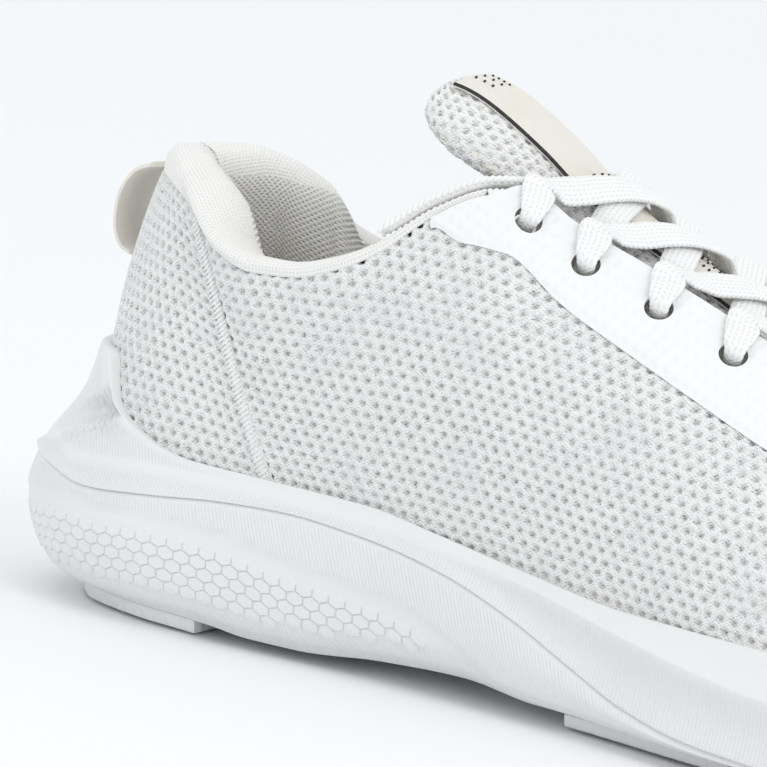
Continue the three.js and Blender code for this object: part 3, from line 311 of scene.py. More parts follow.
# %% Ribs
RIBS = np.array([
    [0.5, 21, 0, 0, 95, 20], [8, 22.3, 7, 0, 95.4, 19], [22, 25.5, 14, 0, 95.4, 16],
    [45, 31, 21, 0, 93.5, 12], [73, 38, 26.5, 0, 87, 9], [80, 46, 30.5, 0, 80.8, 8],
    [87, 56, 33, 0, 78, 8], [94, 66, 33.5, 0, 78.4, 10], [101, 76, 33.3, 0.3, 81.3, 13],
    [108, 85, 32.5, 1, 86.3, 18], [116, 93.5, 29.5, 2, 94, 26], [124, 102.3, 25.5, 3, 99.2, 36],
    [130, 108, 22.5, 3.6, 100, 42], [135, 112.5, 20.5, 4, 98, 44], [141, 119, 20, 4, 94.4, 45],
    [154, 135, 19, 4, 88.7, 45], [171, 154, 18, 4, 81.6, 46], [190, 175, 16, 4, 73, 50],
    [207, 193, 12.5, 4, 65.4, 58], [214, 199, 7, 4, 62.6, 70], [219, 201.5, 0, 4, 61.3, 80],
    [236, 215, 0, 5, 56.8, 80], [255, 232, 0, 6, 52.4, 80], [275, 248, 0, 7, 48.8, 80],
    [298, 262, 0, 8, 45.5, 80]])
RIB_Q = np.array([1.0 if foot >= TOE_TIP[0] else q_of(foot) for foot in RIBS[:, 0]])
SEAM_RIB, CORNER_RIB, THROAT_END_RIB = 4, 11, 20
Q_SEAM, Q_CORNER, Q_THROAT_END = RIB_Q[[SEAM_RIB, CORNER_RIB, THROAT_END_RIB]]
RIDGE_SLOPE = math.radians(14)
RIDGE_TURN = 0.965
top_x, top_gap, top_centre, top_z, top_lean = (
    track(*zip(RIB_Q, RIBS[:, column])) for column in range(1, 6))
foot_lean = track((0, 3), (0.15, 5), (0.3, 6), (1, 6))
handle_foot = track((0, 0.36), (0.45, 0.36), (0.75, 0.42), (1, 0.5))
handle_top = track((0, 0.36), (RIB_Q[THROAT_END_RIB - 2], 0.36),
                   (RIB_Q[THROAT_END_RIB + 1], 0.5), (1, 0.62))


def top_point(side, q):
    return np.stack([top_x(q), top_centre(q) + side * top_gap(q), top_z(q)], -1)


def rib(side, q):
    q = np.asarray(q, float)
    o = outline_at(side, q)
    x, _, out = o
    foot = inset(o, feather_inset(x), footbed_level(x) + FOOT_LIFT)
    top = top_point(side, q)
    chord = top - foot
    reach = np.linalg.norm(chord, axis=-1, keepdims=True)
    along = unit(chord - out * (chord * out).sum(-1, keepdims=True))
    lift = np.radians(foot_lean(q))[..., None]
    lean = np.radians(top_lean(q))[..., None]
    rise = along * np.cos(lift) + out * np.sin(lift)
    arrive = along * np.cos(lean) - out * np.sin(lean)
    swing = smooth(Q_THROAT_END, 1, q) * math.pi / 2
    over = np.stack([-math.cos(RIDGE_SLOPE) * np.sin(swing), -side * np.cos(swing),
                     math.sin(RIDGE_SLOPE) * np.sin(swing)], -1)
    k = smooth(RIB_Q[THROAT_END_RIB - 3], Q_THROAT_END, q)[..., None]
    arrive = unit(mix(arrive, over, k))
    low = foot + rise * reach * handle_foot(q)[..., None]
    high = top - arrive * reach * handle_top(q)[..., None]
    return foot, low, high, top, reach[..., 0] * 1.03


def upper_point(side, q, v):
    foot, low, high, top, _ = rib(side, q)
    v = np.asarray(v, float)[..., None]
    w = 1 - v
    return foot * w ** 3 + low * 3 * w * w * v + high * 3 * w * v * v + top * v ** 3


def own_normal(side, q, v):
    q, v = np.broadcast_arrays(np.asarray(q, float), np.asarray(v, float))
    dq, dv = 0.004, 0.01
    q0, q1 = np.maximum(q - dq, 0), np.minimum(q + dq, 1)
    v0, v1 = np.clip(v - dv, 0, 1), np.clip(v + dv, 0, 1)
    along_q = upper_point(side, q1, v) - upper_point(side, q0, v)
    along_v = upper_point(side, q, v1) - upper_point(side, q, v0)
    return unit(-side * np.cross(along_q, along_v))


def upper_normal(side, q, v):
    q, v = np.broadcast_arrays(np.asarray(q, float), np.asarray(v, float))
    turned = (v > 0.96) & (q > RIDGE_TURN)
    q, v = np.where(turned, RIDGE_TURN, q), np.where(turned, 1.0, v)
    normal = own_normal(side, q, v)
    shared = (q <= 0) | (q >= 1) | ((v >= 1) & (q >= Q_THROAT_END))
    both = unit(normal + own_normal(-side, q, v))
    return np.where(shared[..., None], both, normal)


def on_upper(side, q, v, depth=0.0):
    depth = np.asarray(depth, float)[..., None]
    return upper_point(side, q, v) - upper_normal(side, q, v) * depth


def below(side, q, distance):
    return 1 - np.asarray(distance) / rib(side, q)[4]


roll_depth = track((0, 7), (RIB_Q[3], 7), (RIB_Q[5], 4.5), (RIB_Q[9], 3), (Q_CORNER, 2.4))


def mesh_top(side, q):
    edge = below(side, q, roll_depth(np.minimum(q, Q_CORNER)) + GAP)
    return np.where(q <= Q_CORNER, edge, mix(edge, 1, smooth(Q_CORNER, Q_CORNER + 0.02, q)))


print("ribs", len(RIBS), "seam at q", round(float(Q_SEAM), 3))

# %% [markdown]
# ## Mesh tools
# Most pieces are grids of points that follow the surfaces above. One helper turns a grid into
# faces, another makes the object, with its place in its mesh and a UV map in centimetres of
# cloth, so that a weave runs along the cloth and not along the world.


# %% Mesh tools
def grid_faces(rows, columns, wrap_rows=False, wrap_columns=False, flip=False):
    i = np.arange(rows if wrap_rows else rows - 1)[:, None]
    j = np.arange(columns if wrap_columns else columns - 1)[None, :]
    a = i * columns + j
    b = (i + 1) % rows * columns + j
    c = (i + 1) % rows * columns + (j + 1) % columns
    d = i * columns + (j + 1) % columns
    quads = np.stack([a, b, c, d], -1).reshape(-1, 4)
    return quads[:, ::-1] if flip else quads


def add_piece(name, points, faces, uv=None, crease=None):
    """A mesh object from design millimetres."""
    mesh = bpy.data.meshes.new(name)
    mesh.from_pydata(row(np.asarray(points).reshape(-1, 3)).tolist(), [],
                     [list(map(int, face)) for face in faces])
    if uv is not None:
        layer = mesh.uv_layers.new(name="cloth")
        corner = np.empty(len(mesh.loops), np.int32)
        mesh.loops.foreach_get("vertex_index", corner)
        flat = np.asarray(uv, float).reshape(-1, 2)[corner] / 10.0
        layer.data.foreach_set("uv", flat.astype(np.float32).ravel())
    mesh.validate()
    piece = bpy.data.objects.new(name, mesh)
    bpy.context.scene.collection.objects.link(piece)
    shade(piece, crease)
    return piece


def shade(piece, crease=None):
    mesh = piece.data
    mesh.polygons.foreach_set("use_smooth", np.ones(len(mesh.polygons), bool))
    if crease:
        mesh.set_sharp_from_angle(angle=math.radians(crease))
    mesh.update()


def weld(piece, distance_mm=0.02, outward=True):
    bm = bmesh.new()
    bm.from_mesh(piece.data)
    bmesh.ops.remove_doubles(bm, verts=bm.verts, dist=distance_mm / 1000)
    bmesh.ops.dissolve_degenerate(bm, edges=bm.edges, dist=1e-7)
    if outward:
        bmesh.ops.recalc_face_normals(bm, faces=bm.faces)
    bm.to_mesh(piece.data)
    bm.free()
    return piece


def wear(piece, body, material=None, replaces=()):
    """Gives a finished piece its body, material slot, material and the CAD nodes it covers."""
    if material is not None:
        piece.data.materials.clear()
        piece.data.materials.append(material)
    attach(piece, body)
    if replaces:
        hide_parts(*replaces)
    return piece


def apply_modifiers(piece):
    """Bakes the modifier stack into a plain mesh and removes it."""
    depsgraph = bpy.context.evaluated_depsgraph_get()
    mesh = bpy.data.meshes.new_from_object(piece.evaluated_get(depsgraph))
    piece.modifiers.clear()
    piece.data = mesh
    return piece


# %% [markdown]
# ## Finishes
# A white shoe is a study in small differences: the mesh yarn is bright and dull, the film has
# a soft shine, the foam is satin, the tape is cream. Each finish mixes a slow change of tone
# with a fine bump at the scale of its own yarn or skin.


# %% Material tools
class Finish:
    """Builds a node material piece by piece."""

    def __init__(self, name, colour, roughness, specular=0.4):
        self.material = bpy.data.materials.new(name)
        self.material.use_nodes = True
        self.tree = self.material.node_tree
        self.shader = next(n for n in self.tree.nodes if n.type == "BSDF_PRINCIPLED")
        self.shader.inputs["Base Color"].default_value = (*colour, 1)
        self.shader.inputs["Roughness"].default_value = roughness
        self.shader.inputs["Specular IOR Level"].default_value = specular
        self.colour = colour
        self.place = self.add("ShaderNodeTexCoord")
        self.height = None

    def add(self, kind, **inputs):
        node = self.tree.nodes.new(kind)
        for key, value in inputs.items():
            node.inputs[key].default_value = value
        return node

    def link(self, a, b):
        self.tree.links.new(a, b)

    def calc(self, operation, a, b=None, c=None):
        node = self.add("ShaderNodeMath")
        node.operation = operation
        for socket, value in zip(node.inputs, (a, b, c)):
            if value is None:
                continue
            if isinstance(value, (int, float)):
                socket.default_value = value
            else:
                self.link(value, socket)
        return node.outputs[0]

    def axes(self, source="Object", unit_mm=1.0):
        """X, Y and Z of a coordinate, in millimetres."""
        split = self.add("ShaderNodeSeparateXYZ")
        self.link(self.place.outputs[source], split.inputs[0])
        scale = (1000.0 if source == "Object" else 10.0) / unit_mm
        return [self.calc("MULTIPLY", socket, scale) for socket in split.outputs]

    def noise(self, size_mm, detail=3.0, source="Object"):
        scale = 1000.0 / size_mm if source == "Object" else 10.0 / size_mm
        node = self.add("ShaderNodeTexNoise", Scale=scale, Detail=detail)
        self.link(self.place.outputs[source], node.inputs["Vector"])
        return node.outputs["Fac"]

    def cells(self, size_mm, source="Object"):
        scale = 1000.0 / size_mm if source == "Object" else 10.0 / size_mm
        node = self.add("ShaderNodeTexVoronoi", Scale=scale)
        self.link(self.place.outputs[source], node.inputs["Vector"])
        return node.outputs["Distance"]

    def ripple(self, position, pitch_mm):
        """0 to 1 and back over each pitch."""
        angle = self.calc("MULTIPLY", position, 2 * math.pi / pitch_mm)
        wave = self.calc("SINE", angle)
        return self.calc("MULTIPLY_ADD", wave, 0.5, 0.5)

    def attribute(self, name):
        node = self.add("ShaderNodeAttribute")
        node.attribute_name = name
        return node.outputs["Fac"]

    def tint(self, factor, other, low=0.0, high=1.0):
        """Fades the base colour so far to another one by factor, over low to high."""
        span = self.add("ShaderNodeMapRange")
        span.interpolation_type = "SMOOTHSTEP"
        span.inputs["From Min"].default_value = low
        span.inputs["From Max"].default_value = high
        self.link(factor, span.inputs["Value"])
        blend = self.add("ShaderNodeMix")
        blend.data_type = "RGBA"
        socket = self.shader.inputs["Base Color"]
        if socket.is_linked:
            self.link(socket.links[0].from_socket, blend.inputs["A"])
        else:
            blend.inputs["A"].default_value = socket.default_value
        blend.inputs["B"].default_value = (*other, 1)
        self.link(span.outputs[0], blend.inputs["Factor"])
        self.link(blend.outputs["Result"], socket)
        return self

    def emboss(self, height, depth_mm, strength=1.0):
        """Adds a bump of that depth on top of the ones before it."""
        bump = self.add("ShaderNodeBump", Strength=strength, Distance=depth_mm / 1000)
        self.link(height, bump.inputs["Height"])
        if self.height is not None:
            self.link(self.height, bump.inputs["Normal"])
        self.height = bump.outputs["Normal"]
        self.link(self.height, self.shader.inputs["Normal"])
        return self

    def rough(self, factor, low, high):
        span = self.add("ShaderNodeMapRange")
        span.inputs["To Min"].default_value = low
        span.inputs["To Max"].default_value = high
        self.link(factor, span.inputs["Value"])
        self.link(span.outputs[0], self.shader.inputs["Roughness"])
        return self

    def sheen(self, weight, roughness=0.5):
        self.shader.inputs["Sheen Weight"].default_value = weight
        self.shader.inputs["Sheen Roughness"].default_value = roughness
        return self


# %% The shoe's finishes
def make_air_mesh():
    f = Finish("air_mesh_yarn", (0.90, 0.90, 0.895), 0.85, 0.25).sheen(0.15)
    x, _, z = f.axes()
    slant = f.calc("ADD", x, f.calc("MULTIPLY", z, 1.7))
    counter = f.calc("SUBTRACT", x, f.calc("MULTIPLY", z, 1.7))
    twist = f.calc("MAXIMUM", f.ripple(slant, 1.15), f.ripple(counter, 1.15))
    # Painted shade: the pit centres are tinted a darker beige-grey, for the shade down in each
    # pressed pit.
    f.tint(f.attribute("pit"), (0.72, 0.705, 0.66), 0.35, 1.0)
    f.tint(f.noise(14.0), (0.86, 0.865, 0.86), 0.45, 0.75)
    f.emboss(twist, 0.18).emboss(f.cells(0.62), 0.14).emboss(f.noise(0.25), 0.05)
    return f.material


def make_lining_knit():
    f = Finish("lining_knit", (0.86, 0.85, 0.81), 0.9, 0.2).sheen(0.2)
    u, v, _ = f.axes("UV")
    across = f.ripple(f.calc("ADD", u, v), 1.25)
    down = f.ripple(f.calc("SUBTRACT", u, v), 1.25)
    pique = f.calc("MULTIPLY", across, down)
    # Painted shade: the pique's low places, where the bump below sinks, are tinted darker.
    f.tint(pique, (0.70, 0.685, 0.63), 0.45, 1.0)
    f.tint(f.noise(20.0), (0.88, 0.865, 0.82), 0.4, 0.7)
    f.emboss(f.calc("SUBTRACT", 1.0, pique), 0.28).emboss(f.noise(0.3), 0.05)
    return f.material


def make_rim_knit():
    f = Finish("rim_knit", (0.885, 0.88, 0.86), 0.9, 0.2).sheen(0.2)
    u, v, _ = f.axes("UV")
    stitch = f.calc("MULTIPLY", f.ripple(f.calc("ADD", u, f.calc("MULTIPLY", v, 0.4)), 0.75),
                    f.ripple(v, 0.8))
    # Painted shade: the stitch pattern's low places, where the bump below sinks, are tinted darker.
    f.tint(stitch, (0.78, 0.77, 0.73), 0.4, 1.0)
    f.emboss(f.calc("SUBTRACT", 1.0, stitch), 0.14).emboss(f.noise(0.3), 0.04)
    return f.material


def make_film():
    f = Finish("fused_film", (0.875, 0.88, 0.885), 0.42, 0.45)
    x, _, z = f.axes()
    rows = f.ripple(f.calc("ADD", z, f.calc("MULTIPLY", x, 0.42)), 2.45)
    columns = f.ripple(f.calc("SUBTRACT", x, f.calc("MULTIPLY", z, 0.5)), 2.85)
    grid = f.calc("MULTIPLY", rows, columns)
    f.rough(f.noise(3.0), 0.36, 0.5)
    f.tint(f.noise(25.0), (0.86, 0.865, 0.87), 0.4, 0.7)
    f.emboss(grid, 0.2).emboss(f.noise(1.1), 0.03)
    return f.material


def make_foam():
    f = Finish("moulded_foam", (0.80, 0.80, 0.805), 0.5, 0.4)
    x, _, z = f.axes()
    upright = f.ripple(x, 0.8)
    slanted = f.ripple(f.calc("ADD", x, f.calc("MULTIPLY", z, 0.45)), 0.8)
    lined = f.attribute("lines")
    crossed = f.attribute("slant")
    lines = f.calc("ADD", f.calc("MULTIPLY", upright, lined),
                   f.calc("MULTIPLY", slanted, crossed))
    f.rough(f.noise(6.0), 0.44, 0.6)
    f.tint(f.noise(30.0), (0.785, 0.785, 0.79), 0.4, 0.7)
    f.emboss(lines, 0.12).emboss(f.noise(0.5), 0.02)
    return f.material


def make_rubber():
    f = Finish("outsole_rubber", (0.82, 0.82, 0.82), 0.62, 0.4)
    x, y, _ = f.axes()
    zigzag = f.calc("ABSOLUTE", f.calc("SUBTRACT", f.calc("FRACT", f.calc("DIVIDE", y, 11.0)), 0.5))
    tread = f.ripple(f.calc("ADD", x, f.calc("MULTIPLY", zigzag, 9.0)), 3.4)
    f.tint(f.noise(9.0), (0.80, 0.80, 0.795), 0.4, 0.75)
    f.rough(f.noise(2.0), 0.55, 0.75).emboss(tread, 0.25).emboss(f.noise(0.6), 0.03)
    return f.material


def make_tape():
    f = Finish("cream_twill", (0.83, 0.80, 0.73), 0.8, 0.25).sheen(0.2)
    u, v, _ = f.axes("UV")
    twill = f.ripple(f.calc("ADD", u, v), 0.55)
    f.tint(f.noise(8.0), (0.80, 0.765, 0.68), 0.45, 0.8)
    f.emboss(twill, 0.07).emboss(f.noise(0.3), 0.03)
    return f.material


def make_ink():
    f = Finish("black_thread", (0.03, 0.03, 0.032), 0.7, 0.3)
    f.tint(f.noise(0.8), (0.09, 0.09, 0.095), 0.5, 0.9)
    f.emboss(f.noise(0.3), 0.05)
    return f.material


def make_lace_weave():
    f = Finish("lace_weave", (0.91, 0.91, 0.905), 0.8, 0.3).sheen(0.2)
    u, v, _ = f.axes("UV")
    chevron = f.calc("ABSOLUTE", v)
    plait = f.calc("MULTIPLY", f.ripple(f.calc("ADD", u, chevron), 1.1), f.ripple(v, 1.1))
    # Painted shade: the plait's low places, where the bump below sinks, are tinted darker.
    f.tint(plait, (0.80, 0.80, 0.79), 0.55, 1.0)
    f.emboss(f.calc("SUBTRACT", 1.0, plait), 0.16).emboss(f.noise(0.25), 0.05)
    return f.material


def make_thread():
    f = Finish("white_thread", (0.90, 0.90, 0.89), 0.75, 0.3).sheen(0.2)
    f.tint(f.noise(1.5), (0.80, 0.80, 0.78), 0.5, 0.9)
    f.emboss(f.noise(0.2), 0.06)
    return f.material


def make_padding():
    f = Finish("open_cell_foam", (0.84, 0.82, 0.74), 0.95, 0.15)
    f.tint(f.noise(5.0), (0.80, 0.77, 0.67), 0.4, 0.8)
    f.emboss(f.cells(0.8), 0.2)
    return f.material


def make_board():
    f = Finish("stitched_board", (0.72, 0.69, 0.61), 0.9, 0.2)
    f.tint(f.noise(4.0), (0.66, 0.62, 0.53), 0.4, 0.8)
    f.emboss(f.noise(0.4), 0.08)
    return f.material


def make_sheath():
    f = Finish("lace_sheath", (0.86, 0.86, 0.85), 0.25, 0.5)
    f.rough(f.noise(2.0), 0.2, 0.35)
    f.tint(f.noise(3.0), (0.82, 0.82, 0.80), 0.4, 0.8)
    return f.material


AIR_MESH, KNIT, RIM_KNIT, FILM = make_air_mesh(), make_lining_knit(), make_rim_knit(), make_film()
FOAM, RUBBER_SKIN, TAPE, INK = make_foam(), make_rubber(), make_tape(), make_ink()
LACE_WEAVE, THREAD, PADDING = make_lace_weave(), make_thread(), make_padding()
BOARD, SHEATH = make_board(), make_sheath()
print("finishes", len(bpy.data.materials))

# %% [markdown]
# ## The air mesh
# The upper's cloth is a spacer mesh: round pits in a regular three-way lattice, with plaited
# yarn between them. Placing thousands of rings one by one would leave gaps. Instead a lattice
# of triangles follows the cloth, one corner for each pit, and Geometry Nodes turn it inside
# out: subdivide, take the dual mesh, so each corner becomes a six-sided cell, smooth it, and
# press the middle of each marked cell inwards.

# %% Mesh tree
MESH_PITCH = 2.85
MESH_ROW = 2.46


def make_mesh_tree():
    tree = bpy.data.node_groups.new("pressed_air_mesh", "GeometryNodeTree")
    tree.interface.new_socket("Lattice", in_out="INPUT", socket_type="NodeSocketGeometry")
    for name in ("Pit Width", "Pit Depth", "Strand Rise"):
        tree.interface.new_socket(name, in_out="INPUT", socket_type="NodeSocketFloat")
    tree.interface.new_socket("Yarn", in_out="INPUT", socket_type="NodeSocketMaterial")
    tree.interface.new_socket("Cloth", in_out="OUTPUT", socket_type="NodeSocketGeometry")
    add = tree.nodes.new

    def link(a, b):
        tree.links.new(a, b)

    def calc(operation, a, b):
        node = add("ShaderNodeMath")
        node.operation = operation
        for socket, value in zip(node.inputs, (a, b)):
            if isinstance(value, (int, float)):
                socket.default_value = value
            else:
                link(value, socket)
        return node.outputs[0]

    source = add("NodeGroupInput")
    size = add("GeometryNodeAttributeDomainSize")
    link(source.outputs["Lattice"], size.inputs[0])
    finer = add("GeometryNodeSubdivideMesh")
    finer.inputs["Level"].default_value = 1
    link(source.outputs["Lattice"], finer.inputs[0])
    index = add("GeometryNodeInputIndex")
    is_pit = calc("LESS_THAN", index.outputs[0], size.outputs["Point Count"])
    mark = add("GeometryNodeStoreNamedAttribute")
    mark.data_type, mark.domain = "FLOAT", "POINT"
    mark.inputs["Name"].default_value = "pit"
    link(finer.outputs[0], mark.inputs["Geometry"])
    link(is_pit, mark.inputs["Value"])
    dual = add("GeometryNodeDualMesh")
    dual.inputs["Keep Boundaries"].default_value = True
    link(mark.outputs[0], dual.inputs[0])
    pit = add("GeometryNodeInputNamedAttribute")
    pit.data_type = "FLOAT"
    pit.inputs["Name"].default_value = "pit"
    pit_value = pit.outputs["Attribute"]
    widen = add("GeometryNodeScaleElements")
    link(dual.outputs[0], widen.inputs["Geometry"])
    link(calc("GREATER_THAN", pit_value, 0.5), widen.inputs["Selection"])
    link(source.outputs["Pit Width"], widen.inputs["Scale"])
    soft = add("GeometryNodeSubdivisionSurface")
    soft.inputs["Level"].default_value = 1
    link(widen.outputs[0], soft.inputs[0])
    normal = add("GeometryNodeInputNormal")
    span = add("ShaderNodeMapRange")
    span.interpolation_type = "SMOOTHSTEP"
    span.inputs["From Min"].default_value = 0.55
    link(pit_value, span.inputs["Value"])
    press = calc("MULTIPLY", span.outputs[0], source.outputs["Pit Depth"])
    rise = calc("MULTIPLY", calc("SUBTRACT", 0.5, pit_value), source.outputs["Strand Rise"])
    move = add("ShaderNodeVectorMath")
    move.operation = "SCALE"
    link(normal.outputs[0], move.inputs[0])
    link(calc("SUBTRACT", rise, press), move.inputs["Scale"])
    place = add("GeometryNodeSetPosition")
    link(soft.outputs[0], place.inputs["Geometry"])
    link(move.outputs[0], place.inputs["Offset"])
    keep = add("GeometryNodeStoreNamedAttribute")
    keep.data_type, keep.domain = "FLOAT", "POINT"
    keep.inputs["Name"].default_value = "pit"
    link(place.outputs[0], keep.inputs["Geometry"])
    link(pit_value, keep.inputs["Value"])
    dull = add("GeometryNodeSetShadeSmooth")
    link(keep.outputs[0], dull.inputs[0])
    real = add("GeometryNodeRealizeInstances")
    link(dull.outputs[0], real.inputs[0])
    paint = add("GeometryNodeSetMaterial")
    link(real.outputs[0], paint.inputs["Geometry"])
    link(source.outputs["Yarn"], paint.inputs["Material"])
    result = add("NodeGroupOutput")
    link(paint.outputs[0], result.inputs[0])
    return tree


MESH_TREE = make_mesh_tree()


def run_tree(piece, tree, **values):
    """Runs a tree on a piece with its inputs set by name, and bakes the result."""
    modifier = piece.modifiers.new(tree.name, "NODES")
    modifier.node_group = tree
    for item in tree.interface.items_tree:
        if item.item_type == "SOCKET" and item.in_out == "INPUT":
            key = item.name.replace(" ", "_").lower()
            if key in values:
                modifier[item.identifier] = values[key]
    piece.update_tag()
    bpy.context.view_layer.update()
    apply_modifiers(piece)
    return piece


def press_mesh(piece, depth_mm=0.95, rise_mm=0.3, width=1.18):
    run_tree(piece, MESH_TREE, pit_width=width, pit_depth=depth_mm / 1000,
             strand_rise=rise_mm / 1000, yarn=AIR_MESH)
    print(piece.name, len(piece.data.polygons), "faces of air mesh")
    return piece


# %% [markdown]
# The lattice has to follow the cloth. Rows keep their distance from the sole, measured up the
# cloth, and over the toes they turn to run beside the ridge, so that both sides meet there.
# Columns stand square to the rows although the ribs lean. Corners close to an edge snap on to
# it, so the cloth ends in a clean line.

# %% Lattice on the upper
STEPS = np.linspace(0, 1, 401)
CLIMB = np.linspace(0, 1, 41)


def climb_table(side):
    """Length up each rib, in mm, at even steps of v."""
    grid = upper_point(side, STEPS[:, None], CLIMB[None, :])
    steps = np.linalg.norm(np.diff(grid, axis=1), axis=-1)
    return np.concatenate([np.zeros((len(STEPS), 1)), np.cumsum(steps, axis=1)], axis=1)


HEIGHTS = {side: climb_table(side) for side in SIDES}


def even_out(values, width=0.03):
    """A running average along q that keeps both ends."""
    half = round(width / (STEPS[1] - STEPS[0]))
    padded = np.pad(values, half, mode="edge")
    return np.convolve(padded, np.ones(2 * half + 1) / (2 * half + 1), mode="valid")


def along_shoe():
    total = 0
    for side in SIDES:
        level = np.array([np.interp(26.0, h, CLIMB) for h in HEIGHTS[side]])
        points = upper_point(side, STEPS, level)
        steps = np.linalg.norm(np.diff(points, axis=0), axis=1)
        total = total + np.concatenate([[0], np.cumsum(steps)]) / 2
    return total


def rib_slant():
    """How far a rib moves along the shoe for each millimetre up the cloth."""
    total = 0
    for side in SIDES:
        foot, _, _, top, _ = rib(side, STEPS)
        forward = unit(np.gradient(foot, axis=0))
        total = total + ((top - foot) * forward).sum(-1) / HEIGHTS[side][:, -1] / 2
    ends = smooth(0, 0.06, STEPS) * (1 - smooth(0.9, 1, STEPS))
    return even_out(even_out(total)) * ends


ALONG = along_shoe()
SLANT = rib_slant()
RIDGE_ROW = float(np.mean([np.interp(Q_THROAT_END, STEPS, HEIGHTS[s][:, -1]) for s in SIDES]))


def row_shift(side):
    """Added to the length up the cloth, it makes the ridge one row from end to end."""
    shift = RIDGE_ROW - HEIGHTS[side][:, -1]
    level = np.interp(Q_THROAT_END, STEPS, shift)
    return np.where(STEPS < Q_THROAT_END, level, shift)


SHIFT = {side: row_shift(side) for side in SIDES}


def lattice_place(side, along, up):
    """q and v of the lattice corner that lies so far along the shoe and up the cloth."""
    q = np.interp(along, ALONG, STEPS)
    for _ in range(16):
        moved = along - np.interp(q, STEPS, SLANT) * (up - 26.0)
        q = 0.5 * q + 0.5 * np.interp(moved, ALONG, STEPS)
    place = np.clip(q * (len(STEPS) - 1), 0, len(STEPS) - 1.001)
    i = place.astype(int)
    k = (place - i)[:, None]
    heights = mix(HEIGHTS[side][i], HEIGHTS[side][i + 1], k)
    climbed = up - np.interp(q, STEPS, SHIFT[side])
    v = np.array([np.interp(c, h, CLIMB) for c, h in zip(climbed, heights)])
    return q, v, climbed, heights


def lattice(from_q, to_q, avoid=()):
    """A triangle lattice over both sides of the upper, between two places along the shoe."""
    total = ALONG[-1]
    columns = round(total / MESH_PITCH)
    pitch = total / columns
    index = np.arange(-columns, columns + 1)
    points = np.zeros((44, len(index), 3))
    keep = np.zeros((44, len(index)), bool)
    for line in range(44):
        place = index + 0.5 * (line % 2)
        along = np.clip(total - np.abs(place) * pitch, 0, total)
        up = np.full(len(index), RIDGE_ROW - (line - 14) * MESH_ROW)
        for side in SIDES:
            pick = place < 0 if side == LATERAL else place >= 0
            q, v, climbed, heights = lattice_place(side, along[pick], up[pick])
            edge = mesh_top(side, q)
            edge_up = np.array([np.interp(e, CLIMB, h) for e, h in zip(edge, heights)])
            over = (climbed - edge_up) / MESH_ROW
            tucked = (q < Q_CORNER) & (over > -0.3)
            v = np.where((np.abs(over) < 0.5) & ~tucked, edge, np.minimum(v, 1.0))
            p = on_upper(side, q, v, np.where(tucked, 0.55 * smooth(-0.3, 0.6, over), 0.0))
            points[line, pick] = p
            in_cup = p[:, 2] < rim_top(outline_at(side, q)[0]) - 5.0
            keep[line, pick] = (over < np.where(q < Q_CORNER, 1.2, 0.5)) & (climbed > 0) & ~in_cup \
                & (q >= from_q) & (q <= to_q)
    for centre in avoid:
        keep &= np.linalg.norm(points - centre, axis=-1) > 3.3
    return points, keep


def lattice_faces(keep, wrap=False):
    rows, count = keep.shape
    faces = []
    flat = keep.ravel()
    for line in range(rows - 1):
        for i in range(count if wrap else count - 1):
            n = (i + 1) % count
            a, b = line * count + i, line * count + n
            c, d = a + count, b + count
            pair = [(a, b, c), (b, d, c)] if line % 2 == 0 else [(a, b, d), (a, d, c)]
            faces += [f for f in pair if flat[list(f)].all()]
    return faces


def lattice_piece(name, points, keep, wrap=False, flip=False):
    faces = lattice_faces(keep, wrap)
    if flip:
        faces = [f[::-1] for f in faces]
    used = np.unique(np.array(faces))
    rename = -np.ones(points.reshape(-1, 3).shape[0], int)
    rename[used] = np.arange(len(used))
    piece = add_piece(name, points.reshape(-1, 3)[used], rename[np.array(faces)])
    return weld(piece, 0.1, outward=False)

# %% [markdown]
# ## The sole
# The sole is two foams. The carrier holds the foot and wraps up the heel; the softer core
# shows below the parting line, under an overhanging lip. Both are lofted: one loop across the
# shoe at each station, drawn much finer than the CAD's, with a moulded ridge, a spoon-shaped
# dish beside the heel and a sunk panel on the core.

# %% Sole lofts
SOLE_STATIONS = np.concatenate([np.linspace(0, 0.12, 50)[:-1], np.linspace(0.12, 0.9, 190)[:-1],
                                np.linspace(0.9, 1, 50)])
panel_line = track((0, 19.5), (12, 21.2), (26, 22.7), (32, 22.1), (41, 22.8), (49, 22.9),
                   (68, 21.8), (76, 20.2), (84, 19.4), (92, 18.5), (101, 17.4), (109, 15.3),
                   (113, 13.4), (118, 11.2), (128, 6), (192, 3))


def upper_inset(side, q, height):
    """How far inside the sole's outline the upper stands at a height."""
    x, y, out = outline_at(side, q)
    v = np.linspace(0, 0.9, 91)
    ribs = upper_point(side, np.asarray(q)[:, None], v[None, :])
    found = np.array([np.interp(h, r[:, 2], v) for h, r in zip(height, ribs)])
    point = upper_point(side, q, found)
    base = np.stack([x, y, height], -1)
    return ((base - point) * out).sum(-1)


def fillet(before, corner, after, radius, count=4):
    """Rounds the corner of a profile whose points are arrays of [inset, height]."""
    a = corner + (before - corner) * np.minimum(
        radius / np.linalg.norm(before - corner, axis=-1, keepdims=True), 0.45)
    b = corner + (after - corner) * np.minimum(
        radius / np.linalg.norm(after - corner, axis=-1, keepdims=True), 0.45)
    t = np.linspace(0, 1, count)[:, None, None]
    return list(a * (1 - t) ** 2 + corner * 2 * t * (1 - t) + b * t ** 2)


def arc_through(points, count):
    """A smooth run through profile points, ends included."""
    run = spline(np.stack(points))
    return [run(t) for t in np.linspace(0, 1, count)]


def dish(x, z):
    """The spoon-shaped dish and the lip below it, at the side of the heel cup."""
    middle = 38.6 + 0.35 * (x - 20)
    hollow = 2.6 * smooth(33, 30, x) * smooth(11, 20, x) * np.exp(-((z - middle) / 2.4) ** 4)
    lip = 0.8 * smooth(40, 30, x) * np.exp(-((z - middle + 4.4) / 1.1) ** 2)
    return hollow - lip


def pair(distance, z):
    """Profile points: how far inside the outline, and how high."""
    return np.stack(np.broadcast_arrays(distance, z), -1)


